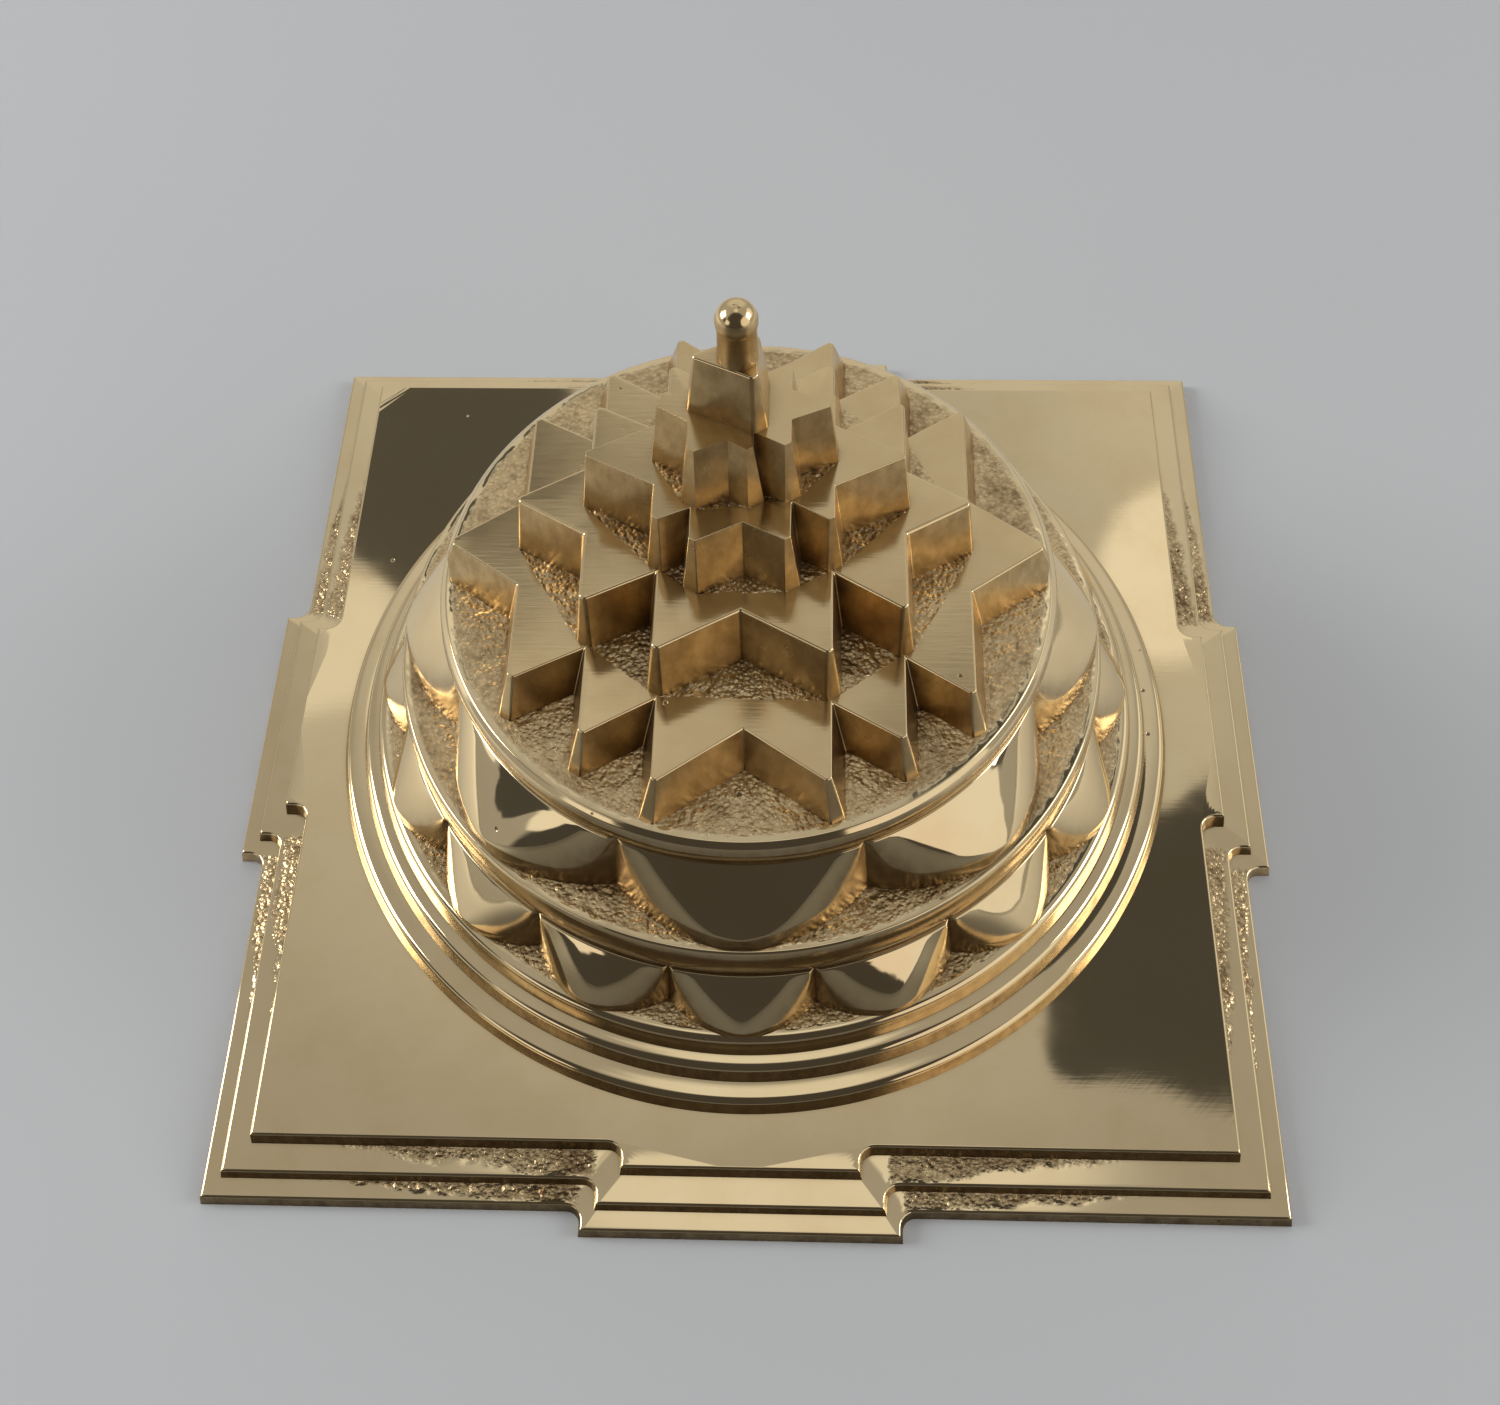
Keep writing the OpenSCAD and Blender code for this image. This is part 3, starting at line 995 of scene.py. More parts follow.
    def band(
        self,
        form: bmesh.types.BMesh,
        lower: Sequence[bmesh.types.BMVert],
        upper: Sequence[bmesh.types.BMVert],
    ) -> None:
        """Join two closed rows of points by a band of faces.

        Args:
            form: The mesh.
            lower: The lower row.
            upper: The upper row, with as many points.
        """
        for here in range(len(lower)):
            form.faces.new((lower[here - 1], lower[here], upper[here], upper[here - 1]))

    def _fill(self, form: bmesh.types.BMesh, edges: Sequence[bmesh.types.BMEdge]) -> None:
        """Fill the level area between an outer and an inner ring."""
        bmesh.ops.triangle_fill(form, use_beauty=True, use_dissolve=False, edges=edges)

    def _recess(
        self,
        form: bmesh.types.BMesh,
        rim: Sequence[bmesh.types.BMEdge],
        radius: float,
        low: float,
        seat: float,
    ) -> list[bmesh.types.BMEdge]:
        """Sink a round hole into the foot.

        Args:
            form: The mesh.
            rim: The open edge of the foot.
            radius: Radius of the hole.
            low: Height of the foot.
            seat: Height of the hole's roof.

        Returns:
            The open edge at the roof of the hole.
        """
        outer, deep = (
            bmesh.ops.create_circle(
                form,
                segments=self.ROUND_STEPS,
                radius=radius * MM,
                matrix=Matrix.Translation((0, 0, level * MM)),
            )["verts"]
            for level in (low, seat)
        )
        self.band(form, outer, deep)
        self._fill(form, [*rim, *self._ring(form, outer)])
        return self._ring(form, deep)

    def roughen(
        self,
        piece: bpy.types.Object,
        grain: float,
        height: float,
        pitch: float,
        seed: int,
        finish: Brass,
        sandy: float = 1.0,
    ) -> None:
        """Raise the grain on the marked ground of a piece.

        Args:
            piece: The object.
            grain: Size of a grain, in millimetres.
            height: Height of a grain, in millimetres.
            pitch: Spacing of the points, in millimetres.
            seed: Seed of the grain.
            finish: The finish.
            sandy: How strongly single grains stand up.
        """
        self.grain.bake(
            piece,
            Material=finish.material(),
            Grain=grain,
            Height=height,
            Sandy=sandy,
            Shake=pitch * self.SHAKE,
            Seed=seed,
        )

    def close(self, piece: bpy.types.Object) -> None:
        """Clean a baked mesh and turn its faces outwards.

        Args:
            piece: The object.
        """
        form = bmesh.new()
        form.from_mesh(piece.data)
        bmesh.ops.remove_doubles(form, verts=form.verts, dist=self.MERGE)
        bmesh.ops.dissolve_degenerate(form, edges=form.edges, dist=self.MERGE)
        loose = [edge for edge in form.edges if not edge.link_faces]
        bmesh.ops.delete(form, geom=loose, context="EDGES")
        bmesh.ops.recalc_face_normals(form, faces=form.faces)
        form.to_mesh(piece.data)
        form.free()

    def shade(self, piece: bpy.types.Object, finish: Brass) -> None:
        """Smooth a finished mesh and give it its finish.

        Args:
            piece: The object.
            finish: The finish.
        """
        mesh = piece.data
        mesh.name = piece.name
        mesh.materials.clear()
        mesh.materials.append(finish.material())
        mesh.polygons.foreach_set("material_index", [0] * len(mesh.polygons))
        mesh.polygons.foreach_set("use_smooth", [True] * len(mesh.polygons))
        mesh.set_sharp_from_angle(angle=self.SMOOTH_ANGLE)
        weighted = piece.modifiers.new("even_normals", "WEIGHTED_NORMAL")
        weighted.keep_sharp = True
        weighted.mode = "FACE_AREA"

    def hand_over(self, piece: bpy.types.Object, finish: Brass, node: str) -> None:
        """Let a finished piece stand for its solid.

        Args:
            piece: The object.
            finish: Its finish.
            node: The solid's name.
        """
        self.shade(piece, finish)
        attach(piece, Body.ROOT.value)
        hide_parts(node)
        LOG.info("%s: %d faces", piece.name, len(piece.data.polygons))


@dataclass
class SubAssembly:
    """A group of pieces that are built and dressed together.

    Attributes:
        shop: The shared mesh work.
        pieces: Pieces made so far, each with its finish and its solid's name.
    """

    shop: Workshop
    pieces: list[tuple[bpy.types.Object, Brass, str]] = field(default_factory=list, init=False)

    def span(self, node: str) -> tuple[Vector, Vector]:
        """Return a solid's lowest and highest corner, in millimetres."""
        low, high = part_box(node)
        return low / MM, high / MM

    def build(self) -> None:
        """Make the meshes."""
        raise NotImplementedError

    def dress(self) -> None:
        """Give every piece its finish and let it stand for its solid."""
        for piece, finish, node in self.pieces:
            self.shop.hand_over(piece, finish, node)


@dataclass
class CastTiers(SubAssembly):
    """Pieces that keep the planes of their solids, with soft edges and rough ground.

    Attributes:
        soft_edge: Width of the softened edges.
        half_hole: Half the width of the square hole.
        pitch: Grid of the rough ground.
        grain: Size of a grain.
        grain_height: Height of a grain.
        sandy: How strongly single grains stand up.
        foot_band: Height over the foot in which edges stay sharp.
        hole_band: Width round the square hole in which edges stay sharp.
    """

    soft_edge: float = 0.24
    half_hole: float = 2.6
    pitch: float = 0.24
    grain: float = 0.5
    grain_height: float = 0.14
    sandy: float = 0.5
    foot_band: float = 0.02
    hole_band: float = 0.1

    def edge_rule(self, node: str) -> Callable[[bmesh.types.BMEdge], Edge]:
        """Keep the foot of a tier and its inner hole sharp.

        Args:
            node: The solid's name.

        Returns:
            The rule for its edges.
        """
        foot = self.span(node)[0].z + self.foot_band

        def rule(edge: bmesh.types.BMEdge) -> Edge:
            """Sort one edge.

            Args:
                edge: The edge.

            Returns:
                How it is treated.
            """
            spots = [vert.co / MM for vert in edge.verts]
            low = all(spot.z < foot for spot in spots)
            inner = all(self.in_hole(node, spot) for spot in spots)
            return Edge.KEPT if low or inner else Edge.SOFT

        return rule

    def in_hole(self, node: str, spot: Vector) -> bool:
        """Return whether a point of a tier lies on the square hole."""
        return max(abs(spot.x), abs(spot.y)) < self.half_hole + self.hole_band

    def top_faces(self, form: bmesh.types.BMesh, node: str) -> list[bmesh.types.BMFace]:
        """Return the level faces at the top of a piece.

        Args:
            form: The mesh.
            node: The solid's name.

        Returns:
            The faces.
        """
        top = self.span(node)[1].z * MM - 1e-5
        return [face for face in form.faces if face.normal.z > 0.99 and face.calc_center_median().z > top]

    def grained(self, node: str, form: bmesh.types.BMesh, finish: Brass, seed: int) -> None:
        """Raise the grain and keep the piece.

        Args:
            node: The solid's name.
            form: The mesh with its ground marked.
            finish: The finish.
            seed: Seed of the grain.
        """
        piece = self.shop.piece(f"dressed_{node}", form)
        self.shop.roughen(piece, self.grain, self.grain_height, self.pitch, seed, finish, self.sandy)
        self.shop.close(piece)
        self.pieces.append((piece, finish, node))


@dataclass(frozen=True)
class Plate:
    """One square plate with its four gates.

    Attributes:
        side: Side of the square.
        gate: Width of a gate.
        drop: How far the ledge falls from the foot of the plate above to its own edge.
    """

    side: float
    gate: float
    drop: float = 0.0


@dataclass
class BasePlates(SubAssembly):
    """The three square plates with four gates, and the rough skin beside the gates.

    Attributes:
        plates: The plates from the lowest up.
        gate_out: How far a gate stands out.
        fillet: Radius where a gate leaves the side.
        lean: How far a wall leans in from foot to top.
        edge: Radius of the rounded upper edge.
        half_hole: Half the width of the square hole.
        foot_hole: Radius and depth of the round hole under the lowest plate.
        tuck: How far a ledge runs in under the plate above.
        pitch: Spacing of the points along the outline.
        rows: Facets across a ledge.
        rough_from: How far a strip of rough skin reaches from its gate.
        ragged: Strength and closeness of each layer of a strip's ragged border.
        gate_gap: Polished gap between a gate and its strip.
        corner_steps: Facets round the upper edge.
        grain: Size of a grain.
        grain_height: Height of a grain.
    """

    plates: Mapping[str, Plate] = field(
        default_factory=lambda: {
            "bhupura_low": Plate(100.0, 29.6, 0.26),
            "bhupura_mid": Plate(96.0, 26.6, 0.34),
            "bhupura_top": Plate(90.4, 22.0),
        }
    )
    gate_out: float = 2.3
    fillet: float = 1.2
    lean: float = 0.22
    edge: float = 0.26
    half_hole: float = 2.6
    foot_hole: tuple[float, float] = (5.1, 1.0)
    tuck: float = 0.12
    pitch: float = 0.27
    rows: int = 11
    rough_from: float = 16.0
    ragged: Sequence[Point] = ((0.35, 0.13), (0.22, 0.5), (0.1, 1.7))
    gate_gap: float = 0.2
    corner_steps: int = 4
    grain: float = 0.5
    grain_height: float = 0.2

    def build(self) -> None:
        """Loft the plates one above the other."""
        names = list(self.plates)
        for seed, node in enumerate(names):
            above = self.plates[names[seed + 1]] if seed + 1 < len(names) else None
            self.loft(node, above, seed)

    def keys(self, plate: Plate, inset: float) -> list[Vector]:
        """Draw the outline of a plate, moved in by an inset.

        Args:
            plate: The plate.
            inset: How far the outline is moved in.

        Returns:
            Corners and fillet points in order; plates have the same number of them.
        """
        flat = plate.side / 2 - inset
        out = flat + self.gate_out
        gate = plate.gate / 2 - inset
        bow = self.fillet + inset
        fillet = [math.pi / 2 * step / 6 for step in range(7)]
        curve = [Vector((gate + bow - bow * math.sin(t), -flat - bow + bow * math.cos(t))) for t in fillet]
        right = [*reversed(curve), Vector((flat, -flat))]
        left = [Vector((-spot.x, spot.y)) for spot in curve]
        side = [*left, Vector((-gate, -out)), Vector((gate, -out)), *right]
        turns = [Matrix.Rotation(turn * math.pi / 2, 2) for turn in range(4)]
        return [turn @ spot for turn in turns for spot in side]

    def outline(self, keys: Sequence[Vector], shares: Sequence[int]) -> list[Vector]:
        """Divide an outline between its corners.

        Args:
            keys: The corners.
            shares: Number of steps from each corner to the next.

        Returns:
            The points.
        """
        ends = [*keys[1:], keys[0]]
        return [
            start.lerp(end, step / count)
            for start, end, count in zip(keys, ends, shares)
            for step in range(count)
        ]

    def loft(self, node: str, above: Plate | None, seed: int) -> None:
        """Make one plate.

        Args:
            node: The solid's name.
            above: The plate that stands on it.
            seed: Seed of the grain.
        """
        plate = self.plates[node]
        low, high = self.span(node)
        outer = self.keys(plate, 0.0)
        spans = [(end - start).length for start, end in zip(outer, [*outer[1:], outer[0]])]
        shares = [max(1, round(span / self.pitch)) for span in spans]
        form = bmesh.new()
        ground = form.verts.layers.float.new("ground")
        loops = []
        for index, (ring, height) in enumerate(self.rings(plate, above, low.z, high.z)):
            loop = [form.verts.new((*(spot * MM), height * MM)) for spot in self.outline(ring, shares)]
            across = (index - self.corner_steps - 1) / self.rows
            for vert in loop:
                vert[ground] = self.share(plate, vert.co / MM, across) if 0 < across < 1 else 0.0
            loops.append(loop)
        for lower, upper in zip(loops, loops[1:]):
            self.shop.band(form, lower, upper)
        foot = self.foot_hole if node == "bhupura_low" else None
        self.shop.close_round_hole(form, self.half_hole, low.z, high.z, foot)
        piece = self.shop.piece(f"dressed_{node}", form)
        self.shop.roughen(piece, self.grain, self.grain_height, self.pitch, seed, MIRROR)
        self.shop.close(piece)
        self.pieces.append((piece, MIRROR, node))

    def rings(
        self, plate: Plate, above: Plate | None, low: float, high: float
    ) -> list[tuple[list[Vector], float]]:
        """Draw the outlines of a plate from its foot to the foot of the plate above.

        Args:
            plate: The plate.
            above: The plate that stands on it.
            low: Height of its foot.
            high: Height of its top.

        Returns:
            Corners and height of each outline.
        """
        brim = high - plate.drop
        rings = [(self.keys(plate, 0.0), low)]
        for step in range(self.corner_steps + 1):
            turn = math.pi / 2 * step / self.corner_steps
            inset = self.lean + self.edge * (1 - math.cos(turn))
            rings.append((self.keys(plate, inset), brim - self.edge * (1 - math.sin(turn))))
        if above is None:
            return rings
        pairs = list(zip(rings[-1][0], self.keys(above, self.tuck)))
        for row in range(1, self.rows + 1):
            share = row / self.rows
            rings.append(([start.lerp(end, share) for start, end in pairs], brim + plate.drop * share))
        return rings

    def share(self, plate: Plate, spot: Vector, across: float) -> float:
        """Say how rough a ledge is at a point.

        Args:
            plate: The plate.
            spot: The point, in millimetres.
            across: Place across the ledge, from 0 at its edge to 1 at its foot.

        Returns:
            Roughness from 0 to 1, which fades raggedly towards the corners of the plate.
        """
        along = min(abs(spot.x), abs(spot.y)) - plate.gate / 2
        out = max(abs(spot.x), abs(spot.y)) - plate.side / 2
        if along < self.gate_gap or out > 0.0:
            return 0.0
        ragged = sum(strength * noise(spot * closeness) for strength, closeness in self.ragged)
        bare = across - 0.85 * along / self.rough_from + 0.25 + ragged
        rim = min(1.0, (1.0 - across) * 9.0, across * 9.0)
        return max(0.0, min(1.0, bare * 4.0)) * rim


@dataclass
class StarTiers(CastTiers):
    """The star tiers and the central triangle.

    Attributes:
        tiers: The tiers from the lowest up.
        tuck: How far the rough pockets run in under the walls that stand on them.
        tang_reach: Radius within which the triangle's edges belong to the hole for the tang.
    """

    tiers: Sequence[str] = (
        "star_fourteen",
        "star_ten_outer",
        "star_ten_inner",
        "star_eight",
        "triangle",
    )
    tuck: float = 0.35
    tang_reach: float = 1.1

    def build(self) -> None:
        """Make each tier, with the pockets of the tier that stands on it."""
        for seed, node in enumerate(self.tiers):
            form = self.shop.solid(node)
            self.shop.soften(form, self.soft_edge, self.edge_rule(node))
            if seed + 1 < len(self.tiers):
                for pocket in self.pockets(self.tiers[seed + 1]):
                    inside = self.shop.carve(form, self.top_faces(form, node), pocket)
                    if inside:
                        self.shop.mark(form, self.shop.grid(form, inside, self.pitch))
            self.grained(node, form, SATIN, 10 + seed)

    def in_hole(self, node: str, spot: Vector) -> bool:
        """Return whether a point lies on a tier's hole, which is small and round in the triangle."""
        if node == "triangle":
            return math.hypot(spot.x, spot.y) < self.tang_reach
        return super().in_hole(node, spot)

    def pockets(self, node: str) -> list[list[Point]]:
        """Find the hollows between the points of a star.

        Args:
            node: The solid's name.

        Returns:
            One triangle for each hollow, a little larger than the hollow under the walls.
        """
        outline = self.foot_outline(node)
        count = len(outline)
        found = []
        for here in range(count):
            before, spot, after = outline[here - 1], outline[here], outline[(here + 1) % count]
            if (spot - before).cross(after - spot) >= -1e-4:
                continue
            across = (after - before).normalized()
            inward = (spot - (before + after) / 2).normalized()
            deep = spot + inward * 2 * self.tuck
            ends = (before - across * self.tuck, deep, after + across * self.tuck)
            found.append([tuple(corner) for corner in ends])
        return found

    def foot_outline(self, node: str) -> list[Vector]:
        """Walk round the foot of a star.

        Args:
            node: The solid's name.

        Returns:
            Its corners in order, anticlockwise from above, in millimetres.
        """
        form = self.shop.solid(node)
        below = [face for face in form.faces if face.normal.z < -0.99 and self.at_foot(face, node)]
        rim: dict[int, bmesh.types.BMVert] = {}
        for face in below:
            for loop in face.loops:
                if loop.link_loop_radial_next.face not in below:
                    rim[loop.link_loop_next.vert.index] = loop.vert
        walks = []
        while rim:
            vert = rim.popitem()[1]
            walk = [vert]
            while vert.index in rim:
                vert = rim.pop(vert.index)
                walk.append(vert)
            walks.append([Vector((v.co.x, v.co.y)) / MM for v in walk])
        form.free()
        return max(walks, key=lambda walk: max(spot.length for spot in walk))

    def at_foot(self, face: bmesh.types.BMFace, node: str) -> bool:
        """Tell whether a face lies at the foot of its tier."""
        return face.calc_center_median().z / MM < self.span(node)[0].z + self.foot_band


@dataclass(frozen=True)
class Station:
    """A point of a turned section.

    Attributes:
        radius: Distance from the axis.
        height: Height over the table.
        ground: 1 where the cast skin is left.
        square: 1 where the point lies on the square hole.
    """

    radius: float
    height: float
    ground: float = 0.0
    square: float = 0.0


@dataclass
class Turned(SubAssembly):
    """Pieces that are turned round the Z axis.

    Attributes:
        half_hole: Half the width of the square hole.
        edge: Radius of a rounded edge.
        pitch: Spacing of the points on rough ground.
        grain: Size of a grain.
        grain_height: Height of a grain.
    """

    half_hole: float = 2.6
    edge: float = 0.22
    pitch: float = 0.24
    grain: float = 0.5
    grain_height: float = 0.13

    def turn(
        self, node: str, section: Sequence[Station], finish: Brass, segments: int, seed: int
    ) -> None:
        """Turn a section and raise its grain.

        Args:
            node: The solid's name.
            section: The section in order, which closes on itself.
            finish: The finish.
            segments: Number of steps round the axis.
            seed: Seed of the grain.
        """
        form = bmesh.new()
        ground = form.verts.layers.float.new("ground")
        square = form.verts.layers.float.new("square")
        for station in section:
            vert = form.verts.new((station.radius * MM, 0.0, station.height * MM))
            vert[ground] = station.ground
            vert[square] = station.square
        piece = self.shop.piece(f"dressed_{node}", form)
        self.shop.turning.bake(
            piece, Segments=segments, Half_Hole=self.half_hole * MM, Material=finish.material()
        )
        self.shop.roughen(piece, self.grain, self.grain_height, self.pitch, seed, finish)
        self.shop.close(piece)
        self.pieces.append((piece, finish, node))

    def corner(self, radius: float, height: float, edge: float) -> list[Station]:
        """Round the upper outer corner of a section.

        Args:
            radius: Radius of the wall.
            height: Height of the top.
            edge: Radius of the rounding.

        Returns:
            Stations from the wall to the top.
        """
        turns = [math.pi / 2 * step / 5 for step in range(6)]
        return [
            Station(radius - edge * (1 - math.cos(turn)), height - edge * (1 - math.sin(turn)))
            for turn in turns
        ]

    def ledge(self, outer: float, inner: float, height: float) -> list[Station]:
        """Lay rough ground from an outer to an inner radius.

        Args:
            outer: Radius where the ground starts.
            inner: Radius where it ends, out of sight.
            height: Height of the ground.

        Returns:
            The stations, with a polished border at both ends.
        """
        count = max(2, round((outer - inner) / self.pitch))
        radii = [outer + (inner - outer) * step / count for step in range(1, count)]
        rough = [Station(radius, height, 1.0) for radius in radii]
        return [Station(outer, height), *rough, Station(inner, height)]

    def hole(self, height: float) -> Station:
        """Return the corner of the square hole at a height."""
        return Station(self.half_hole, height, square=1.0)


@dataclass
class Rings(Turned):
    """The three stepped rings under the lotuses.

    Attributes:
        edge: Radius of a rounded edge.
        batter: How far a wall leans in from foot to top.
        drop: How far a polished ledge falls to its edge.
        rough_inner: Radius at which the rough ledge of the top ring ends under the petals.
        border: Polished border outside the rough ledge.
    """

    edge: float = 0.8
    batter: float = 0.35
    drop: float = 0.2
    rough_inner: float = 33.2
    border: float = 0.3

    def build(self) -> None:
        """Turn the rings."""
        names = ("ring_low", "ring_mid", "ring_top")
        for seed, node in enumerate(names):
            low, high = self.span(node)
            wall = high.x - self.batter
            rough = node == names[-1]
            brim = high.z if rough else high.z - self.drop
            section = [self.hole(low.z), Station(high.x, low.z), *self.corner(wall, brim, self.edge)]
            if rough:
                section += self.ledge(wall - self.edge - self.border, self.rough_inner, high.z)
            else:
                section.append(Station(self.span(names[seed + 1])[1].x - self.border, high.z))
            section.append(self.hole(high.z))
            self.turn(node, section, CAST if rough else MIRROR, 896 if rough else 512, 20 + seed)


@dataclass
class Rims(Turned):
    """The swelling rims over the two lotuses.

    Attributes:
        feet: Foot radius, outer and inner radius of the rough ground, for each rim.
    """

    feet: Mapping[str, tuple[float, float, float]] = field(
        default_factory=lambda: {"rim_low": (33.3, 32.7, 27.4), "rim_high": (27.7, 27.0, 13.0)}
    )

    def build(self) -> None:
        """Turn the rims."""
        for seed, (node, (foot, outer, inner)) in enumerate(self.feet.items()):
            low, high = self.span(node)
            section = [self.hole(low.z), *self.band(foot, low.z, high.z, high.x - foot)]
            section += self.ledge(outer, inner, high.z)
            section.append(self.hole(high.z))
            self.turn(node, section, CAST, 800 if node == "rim_low" else 680, 30 + seed)

    def band(self, foot: float, low: float, high: float, swell: float) -> list[Station]:
        """Draw the swelling wall of a rim.

        Args:
            foot: Radius at both edges.
            low: Height of the foot.
            high: Height of the top.
            swell: How far the wall swells.

        Returns:
            Stations from the foot up and over the top edge.
        """
        rise = high - low
        radius = (rise * rise / 4 + swell * swell) / (2 * swell)
        half = math.asin(rise / 2 / radius)
        turns = [-half + 2 * half * step / 16 for step in range(16)]
        crown = foot + swell - radius
        middle = (low + high) / 2
        spots = [(crown + radius * math.cos(turn), middle + radius * math.sin(turn)) for turn in turns]
        wall = [Station(*spot) for spot in spots]
        below = [station for station in wall if station.height < high - self.edge]
        return [*below, *self.corner(foot, high, self.edge)[1:]]


@dataclass
class Lotus(SubAssembly):
    """A lotus whose arched petals fall from a drum to their tips.

    Attributes:
        node: The solid's name.
        count: Number of petals.
        tip: Radius of the petal tips.
        drum: Radius of the drum between the petals.
        top: Radius of the petals at the top.
        tip_thick: Thickness of a petal at its tip.
        edge_rise: How much thicker a petal's edge is near its root.
        edge_climb: How late the edge climbs to the top; a larger number is later.
        round_share: Radius of a petal's edge, as a share of its length.
        lean: Lean of the wall under the edge, in degrees.
        bulge: How far the face swells, as a share of its length.
        root: How deep the edges run into the drum.
        tip_round: Angle over which the tip is rounded, at the edge and at the top, in degrees.
        half_hole: Half the width of the square hole.
        soft_edge: Length of the softened edge of a petal on either side.
        top_edge: Radius of the rounding at the top.
        front: Angle of the first petal.
        columns: Facets across a petal.
        wall_rows: Facets up the wall.
        face_rows: Facets up the face.
    """

    node: str = "lotus_sixteen"
    count: int = 16
    tip: float = 37.2
    drum: float = 33.7
    top: float = 33.65
    tip_thick: float = 0.75
    edge_rise: float = 0.5
    edge_climb: float = 8.0
    round_share: float = 1.25
    lean: float = 9.0
    bulge: float = 0.025
    root: float = 0.5
    tip_round: tuple[float, float] = (0.7, 4.0)
    half_hole: float = 2.6
    soft_edge: float = 0.16
    top_edge: float = 0.14
    front: float = -math.pi / 2
    columns: int = 72
    wall_rows: int = 4
    face_rows: int = 20

    def build(self) -> None:
        """Loft one petal, repeat it round the drum and close the drum."""
        low, high = self.span(self.node)
        half = math.pi / self.count
        form = bmesh.new()
        lines = []
        for step in range(self.columns + 1):
            angle = half * math.sin(math.pi / 2 * (2 * step / self.columns - 1))
            way = Vector((math.sin(angle), math.cos(angle), 0.0))
            column = self.section(abs(angle), high.z - low.z)
            lines.append([form.verts.new((way * r + Vector((0, 0, low.z + z))) * MM) for r, z in column])
        for left, right in zip(lines, lines[1:]):
            for row in range(len(left) - 1):
                form.faces.new((left[row], left[row + 1], right[row + 1], right[row]))
        piece = self.shop.piece(f"dressed_{self.node}", form)
        start = self.front - math.pi / 2
        self.shop.round.bake(piece, Count=self.count, Start=start, Material=PETAL.material())
        self.cap(piece, low.z, high.z)
        self.shop.close(piece)
        self.pieces.append((piece, PETAL, self.node))

    def section(self, angle: float, full: float) -> list[Point]:
        """Draw the section of a petal along one radius.

        Args:
            angle: Angle of the radius from the petal's middle.
            full: Height of the lotus.

        Returns:
            Radius and height, from the foot over the edge to the top.
        """
        share = angle * self.count / math.pi
        first, last = (math.radians(part) for part in self.tip_round)
        thick = self.tip_thick + self.edge_rise * share
        thick += (full - thick) * share**self.edge_climb
        thick = min(thick, full - 2 * self.top_edge)
        walls = [thick * row / self.wall_rows for row in range(self.wall_rows + 1)]
        wall = [Vector((self.reach(angle, height, full, first), height)) for height in walls]
        top = Vector((min(self.top, self.reach(angle, full, full, first)), full))
        face = []
        for row in range(self.face_rows + 1):
            up = row / self.face_rows
            edge = Vector((self.reach(angle, thick, full, first + (last - first) * up), thick))
            run = top - edge
            out = Vector((run.y, -run.x)) * (self.bulge * 4 * up * (1 - up))
            face.append(edge + run * up + out)
        line = [*wall[:-1], *self.rounded(wall[-2], wall[-1], face[2], self.soft_edge), *face[2:-2]]
        line += self.rounded(face[-3], top, top - Vector((1.0, 0.0)), self.top_edge)
        return [tuple(spot) for spot in line]

    def reach(self, angle: float, height: float, full: float, soft: float) -> float:
        """Find how far out the wall under a petal's edge lies.

        Args:
            angle: Angle from the petal's middle.
            height: Height over the foot of the lotus.
            full: Height of the lotus.
            soft: Angle over which the tip is rounded.

        Returns:
            The radius.
        """
        half = math.pi / self.count
        slope = math.tan(math.radians(self.lean))
        cusp = Vector((math.sin(half), math.cos(half))) * (self.drum - self.root)
        point = Vector((0.0, self.tip))
        edge = self.round_share * (point - cusp).length
        centre = meeting(cusp, edge, point, edge + (full - self.tip_thick) * slope)
        size = edge + (full - height) * slope
        turn = (math.hypot(angle, soft) - soft) * half / (math.hypot(half, soft) - soft)
        along = centre.dot(Vector((math.sin(turn), math.cos(turn))))
        return min(self.tip, along + math.sqrt(size * size - centre.length_squared + along * along))

    def rounded(self, before: Vector, corner: Vector, after: Vector, length: float) -> list[Vector]:
        """Round a corner of a section.

        Args:
            before: A point before the corner.
            corner: The corner.
            after: A point after it.
            length: Length that is taken off on either side.

        Returns:
            Points of the rounding.
        """
        first = corner + (before - corner).normalized() * min(length, (before - corner).length / 2)
        last = corner + (after - corner).normalized() * min(length, (after - corner).length / 2)
        steps = [step / 4 for step in range(5)]
        return [first * (1 - t) ** 2 + corner * (2 * t * (1 - t)) + last * t**2 for t in steps]

    def cap(self, piece: bpy.types.Object, low: float, high: float) -> None:
        """Close the top and the foot round the square hole.

        Args:
            piece: The object.
            low: Height of the foot.
            high: Height of the top.
        """
        form = bmesh.new()
        form.from_mesh(piece.data)
        self.shop.close_round_hole(form, self.half_hole, low, high)
        form.to_mesh(piece.data)
        form.free()


def meeting(first: Vector, first_reach: float, second: Vector, second_reach: float) -> Vector:
    """Find where two circles meet, to the left of the way between their centres.

    Args:
        first: Centre of the first circle.
        first_reach: Its radius.
        second: Centre of the second circle.
        second_reach: Its radius.

    Returns:
        The point.
    """
    gap = (second - first).length
    way = (second - first) / gap
    along = (gap * gap + first_reach * first_reach - second_reach * second_reach) / (2 * gap)
    left = Vector((-way.y, way.x))
    return first + way * along + left * math.sqrt(first_reach * first_reach - along * along)


